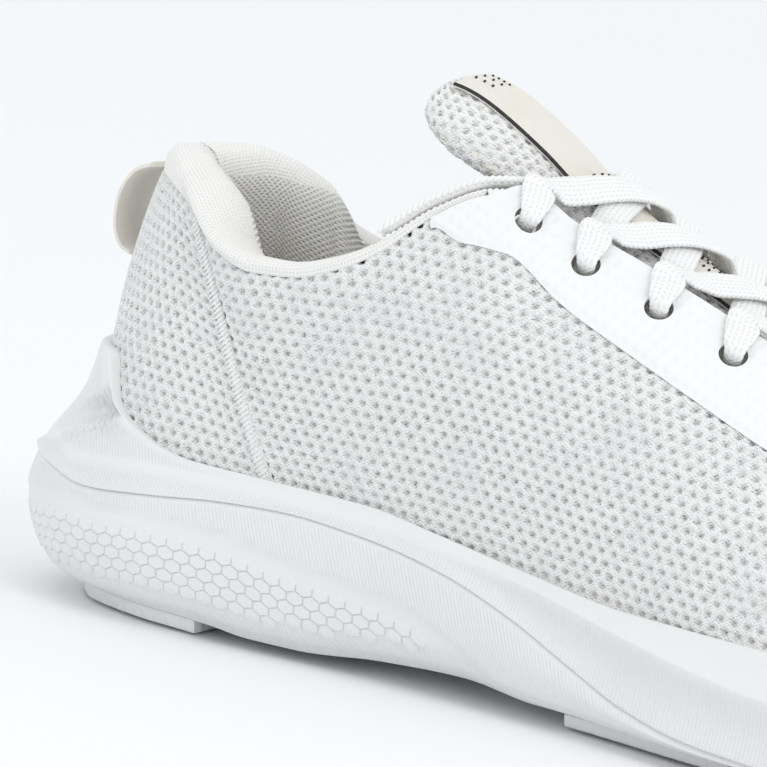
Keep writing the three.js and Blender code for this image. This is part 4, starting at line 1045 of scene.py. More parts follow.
def carrier_profile(side, q):
    x, _, _ = outline_at(side, q)
    floor_z = footbed_level(x)
    head_z = rim_top(x) - 0.4
    middle_z = mix(floor_z, head_z, 0.5)
    wall = [pair(feather_inset(x) - cup_clearance(x), floor_z),
            pair(upper_inset(side, q, middle_z) - 0.1, middle_z),
            pair(upper_inset(side, q, head_z) - 0.1, head_z)]
    rim = pair(rim_inset(x), rim_top(x))
    shoulder = pair(shoulder_inset(x), mix(rim_top(x), ridge_level(x), 0.55))
    ridge = pair(ridge_inset(x), ridge_level(x))
    waist_z = mix(ridge_level(x), np.maximum(parting_level(x), 4), 0.5)
    waist = pair(waist_inset(x), waist_z)
    lip = pair(parting_inset(x), lip_level(x))
    step = pair(parting_inset(x) + CORE_STEP,
                np.where(x < CORE_END_X, lip_level(x), underside(x)))
    plate = pair(PLATE_INSET, underside(x))
    shoulder_run = arc_through([rim, shoulder, ridge], 26)
    waist_run = arc_through([ridge, waist, lip], 12)
    profile = [*wall[:2], *fillet(wall[1], wall[2], rim, 0.7, 3),
               *fillet(wall[2], rim, shoulder_run[1], 0.9, 4), *shoulder_run[1:-1],
               *fillet(shoulder_run[-2], ridge, waist_run[1], 0.8, 5), *waist_run[1:-1],
               *fillet(waist_run[-2], lip, step, 0.45, 4), step, plate]
    return np.stack(profile)


def core_profile(side, q):
    x, _, _ = outline_at(side, q)
    top, base = parting_level(x), foam_bottom(x)
    hidden = [pair(PLATE_INSET - GAP, core_top(x) - TWIST_CLEARANCE),
              pair(parting_inset(x) + CORE_STEP, top + 0.22)]
    run = arc_through([hidden[1], pair(parting_inset(x) + 0.4, top - 0.35),
                       pair(core_bulge(x), mix(top, base, 0.35)),
                       pair(core_low(x), mix(top, base, 0.7)),
                       pair(core_foot(x), mix(top, base, 0.9)),
                       pair(bottom_inset(x), base)], 44)
    return np.stack([hidden[0], *run])


def sink_panel(x, profile):
    """Sinks the core's side below the panel line, and leaves a soft rounded step."""
    z = profile[..., 1]
    side_wall = smooth(0, 0.15, (z - foam_bottom(x)) / 10)
    step = smooth(0.5, -0.5, z - panel_line(x) + 0.2)
    sunk = profile.copy()
    sunk[..., 0] += 0.55 * step * side_wall
    return sunk


def sole_loft(name, stations, profile_of, replaces, cap_end=False):
    halves = {}
    for side in SIDES:
        profile = profile_of(side, stations)
        o = outline_at(side, stations)
        halves[side] = np.stack([inset(o, p[:, 0], p[:, 1]) for p in profile], axis=1)
    left, right = halves[LATERAL], halves[MEDIAL]
    loops = np.concatenate([left, right[:, ::-1]], axis=1)
    faces = list(grid_faces(*loops.shape[:2], wrap_columns=True))
    if cap_end:
        last = (loops.shape[0] - 1) * loops.shape[1]
        faces.append([last + n for n in range(loops.shape[1])])
    piece = add_piece(name, loops, faces)
    weld(piece, 0.02)
    shade(piece, 38)
    mark_lines(piece)
    wear(piece, "shoe", FOAM, replaces)
    print(name, len(piece.data.polygons), "faces")
    return piece


def mark_lines(piece):
    """Says where the moulded hairlines run upright, and where they slant."""
    count = len(piece.data.vertices)
    co = np.empty(count * 3)
    piece.data.vertices.foreach_get("co", co)
    x, y, z = (co.reshape(-1, 3) * 1000 - DESIGN_SHIFT).T
    ridge, parting = ridge_level(x), parting_level(x)
    band = smooth(0, 1.5, ridge - z) * smooth(-0.5, 0.5, z - parting)
    core = smooth(0, 0.6, z - panel_line(x)) * smooth(0.3, 1.0, parting - z)
    foot = smooth(0, 2.0, foam_bottom(x) + 7.0 - z) * (1 - smooth(120, 150, x))
    cup = smooth(0.5, 2.0, z - ridge) * smooth(0.5, 1.5, rim_top(x) - z) * (1 - smooth(50, 90, x))
    for name, values in (("lines", band), ("slant", np.maximum(np.maximum(core, foot), cup))):
        layer = piece.data.attributes.new(name, "FLOAT", "POINT")
        layer.data.foreach_set("value", values.astype(np.float32))


def carrier_shape(side, q):
    x, _, _ = outline_at(side, q)
    profile = carrier_profile(side, q)
    outer = np.arange(len(profile)) > 8
    carved = profile.copy()
    carved[outer, :, 0] += dish(x, profile[outer, :, 1])
    return carved


carrier = sole_loft("sole_carrier", SOLE_STATIONS, carrier_shape,
                    ("midsole_carrier",))
core = sole_loft("sole_core", SOLE_STATIONS[SOLE_STATIONS <= q_of(CORE_END_X)],
                 lambda side, q: sink_panel(outline_at(side, q)[0], core_profile(side, q)),
                 ("midsole_core",), cap_end=True)

# %% [markdown]
# The core's sides carry a field of low scales, like a fish's. They repeat over a surface, so
# Geometry Nodes make them: a lattice laid on the sunk panel, its dual cells, each shrunk a
# little and raised as a thin tile.

# %% Scale tree
SCALE_PITCH = 4.5
SCALE_ROW = 3.2


def make_scale_tree():
    tree = bpy.data.node_groups.new("raised_scales", "GeometryNodeTree")
    tree.interface.new_socket("Lattice", in_out="INPUT", socket_type="NodeSocketGeometry")
    for name in ("Scale Size", "Scale Rise"):
        tree.interface.new_socket(name, in_out="INPUT", socket_type="NodeSocketFloat")
    tree.interface.new_socket("Skin", in_out="INPUT", socket_type="NodeSocketMaterial")
    tree.interface.new_socket("Scales", in_out="OUTPUT", socket_type="NodeSocketGeometry")
    add, link = tree.nodes.new, tree.links.new
    source = add("NodeGroupInput")
    dual = add("GeometryNodeDualMesh")
    link(source.outputs["Lattice"], dual.inputs[0])
    split = add("GeometryNodeSplitEdges")
    link(dual.outputs[0], split.inputs[0])
    raise_tile = add("GeometryNodeExtrudeMesh")
    raise_tile.mode = "FACES"
    link(split.outputs[0], raise_tile.inputs["Mesh"])
    link(source.outputs["Scale Rise"], raise_tile.inputs["Offset Scale"])
    shrink = add("GeometryNodeScaleElements")
    link(raise_tile.outputs["Mesh"], shrink.inputs["Geometry"])
    link(raise_tile.outputs["Top"], shrink.inputs["Selection"])
    link(source.outputs["Scale Size"], shrink.inputs["Scale"])
    real = add("GeometryNodeRealizeInstances")
    link(shrink.outputs[0], real.inputs[0])
    paint = add("GeometryNodeSetMaterial")
    link(real.outputs[0], paint.inputs["Geometry"])
    link(source.outputs["Skin"], paint.inputs["Material"])
    result = add("NodeGroupOutput")
    link(paint.outputs[0], result.inputs[0])
    return tree


SCALE_TREE = make_scale_tree()


def core_side(side, x, z):
    """The core's outer face at a place along the shoe and a height."""
    q = np.interp(x, HALF[side]["x"], HALF[side]["s"]) / HALF[side]["s"][-1]
    profile = sink_panel(outline_at(side, q)[0], core_profile(side, q))[3:]
    inside = np.array([np.interp(-h, -profile[:, n, 1], profile[:, n, 0])
                       for n, h in enumerate(z)])
    return inset(outline_at(side, q), inside, z)


def make_scales(side):
    lines, columns = 11, 34
    points = np.zeros((lines, columns, 3))
    keep = np.zeros((lines, columns), bool)
    for line in range(lines):
        x = 4.0 + (np.arange(columns) + 0.5 * (line % 2)) * SCALE_PITCH * 0.82
        z = panel_line(x) - 2.0 - line * SCALE_ROW * 0.72
        low = foam_bottom(x) + 2.2 + 1.5 * (1 - smooth(4, 30, x))
        keep[line] = (z > low) & (x < 120)
        points[line] = core_side(side, x, np.maximum(z, low))
        out = outline_at(side, np.interp(x, HALF[side]["x"], HALF[side]["s"])
                         / HALF[side]["s"][-1])[2]
        points[line] += out * 0.02
    piece = lattice_piece(f"sole_scales_{SIDE_NAME[side]}", points, keep, flip=side == LATERAL)
    run_tree(piece, SCALE_TREE, scale_size=0.86, scale_rise=0.0004, skin=FOAM)
    shade(piece, 50)
    mark_lines(piece)
    wear(piece, "shoe")
    print(piece.name, len(piece.data.polygons), "faces of scales")


for side in SIDES:
    make_scales(side)

# %% [markdown]
# ## Outsole rubber
# Five flat pods of rubber touch the ground, with grooves between them so the foam can flex.

# %% Outsole pods
PODS = (("outsole_heel", 0, 56), ("outsole_forefoot_rear", 139, 178),
        ("outsole_forefoot_middle", 181, 220), ("outsole_forefoot_front", 223, 250),
        ("outsole_toe", 253, 298))


def make_pod(node, start, end):
    q = np.linspace(q_of(start), 1.0 if end >= TOE_TIP[0] else q_of(end), 40)
    across = np.linspace(0, 1, 11)
    loops = []
    for high in (True, False):
        edge = {}
        for side in SIDES:
            o = outline_at(side, q)
            top = foam_bottom(o[0]) - GAP
            edge[side] = inset(o, bottom_inset(o[0]) + (1.0 if high else 1.8),
                               top - (0 if high else RUBBER))
        line = mix(edge[LATERAL][:, None], edge[MEDIAL][:, None], across[None, :, None])
        loops.append(line if high else line[:, ::-1])
    loops = np.concatenate(loops, axis=1)
    faces = list(grid_faces(*loops.shape[:2], wrap_columns=True))
    count = loops.shape[1]
    faces.append([n for n in range(count)][::-1])
    faces.append([(len(q) - 1) * count + n for n in range(count)])
    piece = weld(add_piece(node.replace("outsole", "rubber"), loops, faces), 0.02)
    bevel = piece.modifiers.new("edge", "BEVEL")
    bevel.width, bevel.segments, bevel.angle_limit = 0.0005, 2, math.radians(50)
    apply_modifiers(piece)
    shade(piece, 35)
    return wear(piece, "shoe", RUBBER_SKIN, (node,))


for pod in PODS:
    make_pod(*pod)
print("pods", len(PODS))

# %% [markdown]
# ## The upper's cloth
# Two pieces of air mesh: one round the heel, one from the seams forward over the toes.

# %% Upper cloth
EYELET_TOP_X = (110.5, 124, 140.5, 157, 173, 188)
EYELET_SETBACK = 7.2
EYELET_RADIUS = 2.9


def q_at_top(x):
    return float(np.interp(x, top_x(STEPS), STEPS))


def make_eyelet(side, number):
    q = q_at_top(EYELET_TOP_X[number])
    v = float(below(side, q, EYELET_SETBACK))
    centre, normal = upper_point(side, q, v), upper_normal(side, q, v)
    edge = top_point(side, q)
    return {"side": side, "number": number, "q": q, "v": v, "centre": centre,
            "normal": normal, "inward": unit(edge - centre), "edge": edge}


EYELETS = {side: [make_eyelet(side, n) for n in range(6)] for side in SIDES}
ALL_EYELETS = EYELETS[LATERAL] + EYELETS[MEDIAL]
HOLES = [e["centre"] for e in ALL_EYELETS]

heel_cloth = lattice_piece("heel_cloth", *lattice(0, Q_SEAM + 0.0065), flip=True)
wear(press_mesh(heel_cloth), "shoe", None, ("heel_panel",))
vamp_cloth = lattice_piece("vamp_cloth", *lattice(Q_SEAM - 0.0065, 1, HOLES), flip=True)
wear(press_mesh(vamp_cloth), "shoe", None, ("vamp_quarter_mesh",))

# %% [markdown]
# ## Fused seam bands
# A soft band is fused over each heel seam. It is a low cushion in section, and its edges are
# caught by short stitches, which Geometry Nodes place along a guide line.


# %% Seam bands
def strip(name, stations, rows_of, thickness_of):
    """A closed strip: outer face from rows_of(station, t, depth) and the face beneath it."""
    t = np.linspace(0, 1, len(thickness_of))
    outer = np.stack([rows_of(s, t, -np.asarray(thickness_of)) for s in stations])
    inner = np.stack([rows_of(s, t, np.full(len(t), 0.25)) for s in stations])
    loops = np.concatenate([outer, inner[:, ::-1]], axis=1)
    count = loops.shape[1]
    faces = list(grid_faces(*loops.shape[:2], wrap_columns=True))
    faces.append(list(range(count))[::-1])
    faces.append([(len(stations) - 1) * count + n for n in range(count)])
    return weld(add_piece(name, loops, faces), 0.01)


BAND_HALF = 0.0062


def band_row(side):
    def rows_of(height, t, depth):
        q = Q_SEAM + (2 * t - 1) * BAND_HALF
        x = outline_at(side, q)[0]
        v = np.linspace(0, 0.9, 91)
        ribs = upper_point(side, q[:, None], v[None, :])
        low = np.array([np.interp(h, r[:, 2], v) for h, r in zip(rim_top(x) - 1.5, ribs)])
        return on_upper(side, q, mix(low, mesh_top(side, q) + 0.005, height), depth)
    return rows_of


def make_band(side):
    section = [0.05, 0.35, 0.55, 0.62, 0.64, 0.62, 0.55, 0.35, 0.05]
    piece = strip(f"seam_band_{SIDE_NAME[side]}", np.linspace(0, 1, 130), band_row(side), section)
    co = np.empty(len(piece.data.vertices) * 3)
    piece.data.vertices.foreach_get("co", co)
    rng = np.random.default_rng(11)
    co += rng.normal(0, 0.000045, len(co))
    piece.data.vertices.foreach_set("co", co)
    shade(piece)
    return wear(piece, "shoe", THREAD_FUZZ,
                (f"heel_seam_tape_{SIDE_NAME[side]}",))


def make_fuzz():
    f = Finish("fused_fuzz", (0.885, 0.885, 0.88), 0.8, 0.3).sheen(0.3)
    f.tint(f.cells(0.55), (0.76, 0.76, 0.74), 0.35, 0.7)
    f.emboss(f.cells(0.5), 0.3).emboss(f.noise(0.2), 0.12)
    return f.material


THREAD_FUZZ = make_fuzz()
for side in SIDES:
    make_band(side)


# %% Stitch tree
def make_stitch_tree():
    """Short threads laid square across a guide line."""
    tree = bpy.data.node_groups.new("stitches_on_a_line", "GeometryNodeTree")
    tree.interface.new_socket("Guide", in_out="INPUT", socket_type="NodeSocketGeometry")
    for name in ("Spacing", "Stitch Length", "Thread Radius", "Turn"):
        tree.interface.new_socket(name, in_out="INPUT", socket_type="NodeSocketFloat")
    tree.interface.new_socket("Thread", in_out="INPUT", socket_type="NodeSocketMaterial")
    tree.interface.new_socket("Stitches", in_out="OUTPUT", socket_type="NodeSocketGeometry")
    add, link = tree.nodes.new, tree.links.new
    source = add("NodeGroupInput")
    line = add("GeometryNodeMeshToCurve")
    link(source.outputs["Guide"], line.inputs[0])
    spots = add("GeometryNodeCurveToPoints")
    spots.mode = "LENGTH"
    link(line.outputs[0], spots.inputs["Curve"])
    link(source.outputs["Spacing"], spots.inputs["Length"])
    bead = add("GeometryNodeMeshUVSphere")
    bead.inputs["Segments"].default_value = 6
    bead.inputs["Rings"].default_value = 5
    bead.inputs["Radius"].default_value = 1.0
    size = add("ShaderNodeCombineXYZ")
    link(source.outputs["Thread Radius"], size.inputs[0])
    link(source.outputs["Stitch Length"], size.inputs[1])
    link(source.outputs["Thread Radius"], size.inputs[2])
    normal = add("GeometryNodeInputNamedAttribute")
    normal.data_type = "FLOAT_VECTOR"
    normal.inputs["Name"].default_value = "lift"
    facing = add("FunctionNodeAlignEulerToVector")
    facing.axis = "Z"
    link(normal.outputs["Attribute"], facing.inputs["Vector"])
    tangent = add("GeometryNodeInputNamedAttribute")
    tangent.data_type = "FLOAT_VECTOR"
    tangent.inputs["Name"].default_value = "run"
    turned = add("FunctionNodeAlignEulerToVector")
    turned.axis, turned.pivot_axis = "X", "Z"
    link(facing.outputs[0], turned.inputs["Rotation"])
    link(tangent.outputs["Attribute"], turned.inputs["Vector"])
    spin = add("FunctionNodeRotateEuler")
    spin.rotation_type, spin.space = "AXIS_ANGLE", "LOCAL"
    spin.inputs["Axis"].default_value = (0, 0, 1)
    link(turned.outputs[0], spin.inputs["Rotation"])
    link(source.outputs["Turn"], spin.inputs["Angle"])
    place = add("GeometryNodeInstanceOnPoints")
    link(spots.outputs["Points"], place.inputs["Points"])
    link(bead.outputs["Mesh"], place.inputs["Instance"])
    link(spin.outputs[0], place.inputs["Rotation"])
    link(size.outputs[0], place.inputs["Scale"])
    real = add("GeometryNodeRealizeInstances")
    link(place.outputs[0], real.inputs[0])
    soft = add("GeometryNodeSetShadeSmooth")
    link(real.outputs[0], soft.inputs[0])
    paint = add("GeometryNodeSetMaterial")
    link(soft.outputs[0], paint.inputs["Geometry"])
    link(source.outputs["Thread"], paint.inputs["Material"])
    result = add("NodeGroupOutput")
    link(paint.outputs[0], result.inputs[0])
    return tree


STITCH_TREE = make_stitch_tree()


def stitch_line(name, points, normals, body, spacing, length, radius, turn=0.0,
                material=None, replaces=()):
    """Stitches along a polyline in design millimetres."""
    points = np.asarray(points, float)
    mesh = bpy.data.meshes.new(name)
    edges = [(n, n + 1) for n in range(len(points) - 1)]
    mesh.from_pydata(row(points).tolist(), edges, [])
    for key, values in (("lift", normals), ("run", unit(np.gradient(points, axis=0)))):
        layer = mesh.attributes.new(key, "FLOAT_VECTOR", "POINT")
        layer.data.foreach_set("vector", np.asarray(values, np.float32).ravel())
    piece = bpy.data.objects.new(name, mesh)
    bpy.context.scene.collection.objects.link(piece)
    run_tree(piece, STITCH_TREE, spacing=spacing / 1000, stitch_length=length / 2000,
             thread_radius=radius / 1000, turn=turn, thread=material or THREAD)
    return wear(piece, body, None, replaces)


def join_pieces(pieces, name):
    """Joins plain meshes that share a body into one piece."""
    first = pieces[0]
    with bpy.context.temp_override(active_object=first, selected_editable_objects=pieces):
        bpy.ops.object.join()
    first.name = name
    return first


def seam_stitches(side):
    height = np.linspace(0.03, 0.99, 160)
    q = np.full(len(height), Q_SEAM)
    rows_of = band_row(side)
    lines = np.stack([rows_of(h, np.array([0.5]), np.array([-0.6]))[0] for h in height])
    normals = upper_normal(side, q, height * 0.9)
    return stitch_line(f"seam_stitches_{SIDE_NAME[side]}", lines, normals, "shoe",
                       0.95, 3.4, 0.24, 0.25)


for side in SIDES:
    seam_stitches(side)
print("seam stitches on both sides")

# %% [markdown]
# ## The eyestay film
# A thin white film is fused over the mesh round the throat. It is laid as one surface on both
# sides, thickened, tapered along its lower edge, and drilled for the eyelets.

# %% Film
film_width = track((0, 24), (RIB_Q[8], 18), (RIB_Q[10], 11), (RIB_Q[12], 16), (RIB_Q[15], 20),
                   (RIB_Q[17], 22), (Q_THROAT_END, 22), (RIB_Q[21], 16), (1, 14))


def thicken(piece, thickness_mm, outward=True, group=None):
    solid = piece.modifiers.new("thickness", "SOLIDIFY")
    solid.thickness = thickness_mm / 1000
    solid.offset = 1 if outward else -1
    if group:
        solid.vertex_group, solid.thickness_vertex_group = group, 0.3
    return apply_modifiers(piece)


def drill(piece, places):
    """Cuts a round hole through the piece at each eyelet."""
    cutters = []
    for e in places:
        bpy.ops.mesh.primitive_cylinder_add(vertices=40, radius=EYELET_RADIUS / 1000, depth=0.008)
        cutter = bpy.context.object
        turn = Vector(e["normal"]).to_track_quat("Z", "Y").to_matrix().to_4x4()
        cutter.data.transform(Matrix.Translation(Vector(row(e["centre"]))) @ turn)
        cutters.append(cutter)
    cutter = join_pieces(cutters, "drill")
    cut = piece.modifiers.new("holes", "BOOLEAN")
    cut.operation, cut.object, cut.solver = "DIFFERENCE", cutter, "EXACT"
    apply_modifiers(piece)
    bpy.data.objects.remove(cutter)
    return piece


FILM_ROWS, FILM_COLUMNS = 170, 26   # along the throat, and across the film


def make_film_piece():
    q = np.linspace(RIB_Q[10], RIB_Q[21], FILM_ROWS)
    k = np.linspace(0, 1, FILM_COLUMNS)
    end = smooth(RIB_Q[19], RIB_Q[21], q)
    start = 1 - smooth(RIB_Q[10], RIB_Q[11], q)
    width = film_width(q) * np.sqrt(1 - end ** 2) * (1 - 0.55 * start ** 2)
    points, taper = [], []
    for side in SIDES:
        low = below(side, q, width)[:, None]
        high = mesh_top(side, q)[:, None]
        v = mix(np.minimum(low, high - 0.004), high, k[None, :])
        points.append(on_upper(side, q[:, None], v, -GAP))
        taper.append(np.broadcast_to(smooth(0, 2.0, k[None, :] * width[:, None]), v.shape))
    near = grid_faces(FILM_ROWS, FILM_COLUMNS, flip=False)
    far = grid_faces(FILM_ROWS, FILM_COLUMNS, flip=True) + FILM_ROWS * FILM_COLUMNS
    faces = np.concatenate([near, far])
    piece = add_piece("eyestay_film", np.concatenate([p.reshape(-1, 3) for p in points]), faces)
    group = piece.vertex_groups.new(name="full")
    for n, w in enumerate(np.concatenate([t.ravel() for t in taper])):
        group.add([n], float(w), "REPLACE")
    weld(piece, 0.05)
    thicken(piece, 0.6, group="full")
    drill(piece, ALL_EYELETS)
    shade(piece, 40)
    return wear(piece, "shoe", FILM, ("eyestay_overlay",))


film = make_film_piece()
print("film", len(film.data.polygons), "faces,", len(ALL_EYELETS), "eyelets")

# %% [markdown]
# ## Soft pads
# A pad starts as a coarse copy of the CAD's foam. Cloth pressure rounds that copy for twenty
# frames with gravity off. How far each of its points moved, capped, then moves the fine cover
# above it as well, so that cover and pad stay together.


# %% Pad tools
def points_of(mesh):
    flat = np.empty(len(mesh.vertices) * 3)
    mesh.vertices.foreach_get("co", flat)
    return flat.reshape(-1, 3)


def soft_copy(node, name, voxel_mm):
    """A rounded copy of a foam node, as its own mesh."""
    mesh = NODES[node].data.copy()
    mesh.transform(NODES[node].matrix_world)
    piece = bpy.data.objects.new(name, mesh)
    bpy.context.scene.collection.objects.link(piece)
    remesh = piece.modifiers.new("even", "REMESH")
    remesh.mode, remesh.voxel_size = "VOXEL", voxel_mm / 1000
    soften = piece.modifiers.new("soft", "SMOOTH")
    soften.factor, soften.iterations = 0.5, 3
    apply_modifiers(piece)
    shade(piece)
    return piece


def inflate(node, voxel_mm, cap_mm, pressure=4.0):
    """Where the points of a coarse pad start, and how far pressure moves them."""
    coarse = soft_copy(node, "coarse_pad", voxel_mm)
    before = points_of(coarse.data)
    cloth = coarse.modifiers.new("cloth", "CLOTH")
    settings = cloth.settings
    settings.use_pressure, settings.uniform_pressure_force = True, pressure
    settings.mass = 0.3
    settings.tension_stiffness = settings.compression_stiffness = 15
    settings.effector_weights.gravity = 0
    cloth.point_cache.frame_start, cloth.point_cache.frame_end = 1, 20
    for number in range(1, 21):
        bpy.context.scene.frame_set(number)
    apply_modifiers(coarse)
    moved = points_of(coarse.data) - before
    length = np.linalg.norm(moved, axis=1, keepdims=True)
    moved *= np.minimum(1, cap_mm / 1000 / np.maximum(length, 1e-9))
    bpy.data.objects.remove(coarse)
    bpy.context.scene.frame_set(1)
    print(node, "pad points", len(before), "mean rise mm",
          round(1000 * float(np.linalg.norm(moved, axis=1).mean()), 2))
    return before, moved


def follow(pieces, before, moved, weight=None):
    """Moves each piece's points by what the nearest pad points did."""
    tree = KDTree(len(before))
    for n, p in enumerate(before):
        tree.insert(p, n)
    tree.balance()
    for piece in pieces:
        own = points_of(piece.data)
        shift = np.zeros_like(own)
        for n, p in enumerate(own):
            found = tree.find_n(p, 6)
            near = np.array([1 / (d + 0.0015) for _, _, d in found])
            near /= near.sum()
            far = math.exp(-(found[0][2] / 0.006) ** 2)
            shift[n] = (moved[[i for _, i, _ in found]] * near[:, None]).sum(0) * far
        if weight is not None:
            shift *= weight(own * 1000 - DESIGN_SHIFT)[:, None]
        piece.data.vertices.foreach_set("co", (own + shift).ravel())
        piece.data.update()


# %% [markdown]
# ## The collar
# The knit collar rolls over the top line and down over the padding. Its section is a curve in
# two numbers: how far down the rib, and how deep below the outer face.

# %% Collar
pad_reach = track((0, 38), (RIB_Q[4], 34), (RIB_Q[8], 26), (Q_CORNER, 20))
pad_thickness = track((0, 9.5), (RIB_Q[2], 11), (RIB_Q[4], 11.5), (RIB_Q[7], 9.5),
                      (RIB_Q[10], 7), (Q_CORNER, 5.4))
COLLAR_COLUMNS = 56


def collar_section(q):
    roll, reach, t = float(roll_depth(q)), float(pad_reach(q)), float(pad_thickness(q))
    keys = [(roll, .1), (roll * .5, -.5), (roll * .12, .8), (0, t * .35), (.7, t * .72),
            (roll * .35 + 2, t), (reach * .35, t + .4), (reach * .6, t - .6),
            (reach * .84, mix(4.6, t, .45)), (reach, 4.4)]
    return spline([(a, b, 0) for a, b in keys])(np.linspace(0, 1, COLLAR_COLUMNS))[:, :2]


def make_collar():
    q = np.concatenate([-np.linspace(Q_CORNER, 0, 150)[:-1], np.linspace(0, Q_CORNER, 150)])
    rows, cloth = [], []
    for value in q:
        side = LATERAL if value <= 0 else MEDIAL
        here = np.full(COLLAR_COLUMNS, abs(value))
        section = collar_section(abs(value))
        rows.append(on_upper(side, here, below(side, here, section[:, 0]), section[:, 1]))
        rise = np.linalg.norm(np.diff(rows[-1], axis=0), axis=1)
        cloth.append(np.concatenate([[0], np.cumsum(rise)]))
    rows, cloth = np.array(rows), np.array(cloth)
    run = np.concatenate([[0], np.cumsum(np.linalg.norm(np.diff(rows[:, 30], axis=0), axis=1))])
    uv = np.stack([np.broadcast_to(run[:, None], cloth.shape), cloth], -1)
    faces = grid_faces(len(q), COLLAR_COLUMNS, flip=True)
    cover = add_piece("collar_cover", rows, faces, uv)
    cover.data.materials.append(KNIT)
    cover.data.materials.append(RIM_KNIT)
    column = np.tile(np.arange(COLLAR_COLUMNS - 1), len(q) - 1)
    cover.data.polygons.foreach_set("material_index", (column < 30).astype(np.int32))
    return cover


collar_cover = make_collar()
collar_padding = soft_copy("collar_foam", "collar_padding", 1.6)
follow([collar_cover, collar_padding], *inflate("collar_foam", 5, 0.9))
thicken(collar_cover, 0.6, outward=False)
wear(collar_cover, "shoe", None, ("collar_lining",))
wear(collar_padding, "shoe", PADDING, ("collar_foam",))
print("collar", len(collar_cover.data.polygons), "faces")

# %% [markdown]
# Below the padding a thin knit lining runs down to the sole. One grid goes round the heel and
# both sides, and a modifier gives it its thickness.

# %% Inner lining
RIDGE_BLEND = 0.004


def lining_top(side, q):
    heel = below(side, q, pad_reach(q) + 1.2)
    throat = below(side, q, film_width(np.maximum(q, RIB_Q[12])) + 3)
    top = mix(heel, throat, smooth(RIB_Q[10], RIB_Q[12], q))
    return np.where(q > Q_THROAT_END,
                    mix(top, 1, smooth(RIB_Q[21], RIB_Q[21] + RIDGE_BLEND, q)), top)


LINING_LEVELS = 34       # points from the sole up to the collar
LINING_DEPTH = 3.5       # mm inside the upper's outer face


def make_inner_lining():
    steps = np.linspace(0, 1, 220)
    q = np.concatenate([-steps[::-1], steps[1:]])
    k = np.linspace(0, 1, LINING_LEVELS)
    rows, cloth = [], []
    for value in q:
        side = LATERAL if value <= 0 else MEDIAL
        here = np.full(LINING_LEVELS, abs(value))
        v = mix(0.01, float(lining_top(side, abs(value))), k)
        rows.append(on_upper(side, here, v, LINING_DEPTH))
        rise = np.linalg.norm(np.diff(rows[-1], axis=0), axis=1)
        cloth.append(np.concatenate([[0], np.cumsum(rise)]))
    rows, cloth = np.array(rows), np.array(cloth)
    run = np.concatenate([[0], np.cumsum(np.linalg.norm(np.diff(rows[:, 0], axis=0), axis=1))])
    uv = np.stack([np.broadcast_to(run[:, None], cloth.shape), cloth], -1)
    piece = add_piece("inner_lining", rows, grid_faces(len(q), LINING_LEVELS, flip=True), uv)
    thicken(piece, 0.6, outward=False)
    return wear(piece, "shoe", KNIT, ("upper_lining",))


inner_lining = make_inner_lining()


# %% [markdown]
# ## The braided binding
# The collar's front edge is bound with a knitted braid. A plain tube is its core. Two rows of
# long beads lean across it in opposite directions, which is how a plait reads at this size.

# %% Tubes and braid
def tube(name, points, radii, sides=12, normals=None, flat=1.0):
    """A closed tube along points, radius by point; flat squeezes it along the normal."""
    points = np.asarray(points, float)
    along = unit(np.gradient(points, axis=0))
    normals = np.asarray(normals if normals is not None else np.tile([0, 0, 1.0],
                                                                    (len(points), 1)))
    up = unit(normals - along * (normals * along).sum(-1, keepdims=True))
    across = np.cross(along, up)
    angle = np.linspace(0, 2 * math.pi, sides, endpoint=False)
    radii = np.broadcast_to(radii, len(points))[:, None, None]
    loops = points[:, None] + radii * (across[:, None] * np.cos(angle)[None, :, None]
                                       + flat * up[:, None] * np.sin(angle)[None, :, None])
    faces = list(grid_faces(len(points), sides, wrap_columns=True))
    faces.append(list(range(sides))[::-1])
    faces.append([(len(points) - 1) * sides + n for n in range(sides)])
    return weld(add_piece(name, loops, faces, crease=60), 0.001)


def make_braid(side):
    q = np.linspace(RIB_Q[9], RIB_Q[12], 90)
    _, _, high, top, _ = rib(side, q)
    up, out = unit(top - high), upper_normal(side, q, 1.0)
    line = top + up * 1.8 - out * 1.2
    ends = np.sqrt(np.clip(np.minimum(np.arange(90), np.arange(90)[::-1]) / 5, 0.1, 1))
    core = tube(f"braid_core_{SIDE_NAME[side]}", line - up * 0.25, 1.2 * ends, 14, up, 0.7)
    wear(core, "shoe", THREAD, (f"collar_binding_{SIDE_NAME[side]}",))
    for n, (shift, turn) in enumerate(((-0.8, 0.75), (0.8, -0.75))):
        stitch_line(f"braid_strand_{n + 1}_{SIDE_NAME[side]}", line + out * shift + up * 0.2,
                    up * 0.5 + out * np.sign(shift), "shoe", 1.3, 3.2, 0.68, turn)


for side in SIDES:
    make_braid(side)

# %% [markdown]
# ## The tongue
# The tongue is a padded tube of the same air mesh over foam, arched across the instep, with a
# woven tape sewn along its crest.

# %% Tongue shape
TONGUE_CENTRE = 4.5
TONGUE_STATIONS = np.array([
    [212, 51.4, 15, 28, 2.4], [203, 55.3, 17, 26, 2.6], [190, 61.4, 18.5, 24, 3.4],
    [175, 69.4, 19, 23, 4], [157, 79, 19, 23, 4.4], [137, 89.2, 18, 22.5, 4.8],
    [125, 95.2, 17.6, 22.5, 5], [116, 100.3, 17.6, 24, 5.2], [106, 107.4, 19.4, 28, 5.4],
    [93, 114.8, 22.5, 34, 5.6], [87, 117.2, 22, 38, 5.2], [82.5, 118.4, 19, 38, 4]])
TONGUE_KEYS = np.linspace(0, 1, len(TONGUE_STATIONS))
tongue_line = spline([(x, TONGUE_CENTRE, z) for x, z in TONGUE_STATIONS[:, :2]])
tongue_half, tongue_radius, tongue_padding = (
    track(*zip(TONGUE_KEYS, TONGUE_STATIONS[:, column])) for column in (2, 3, 4))


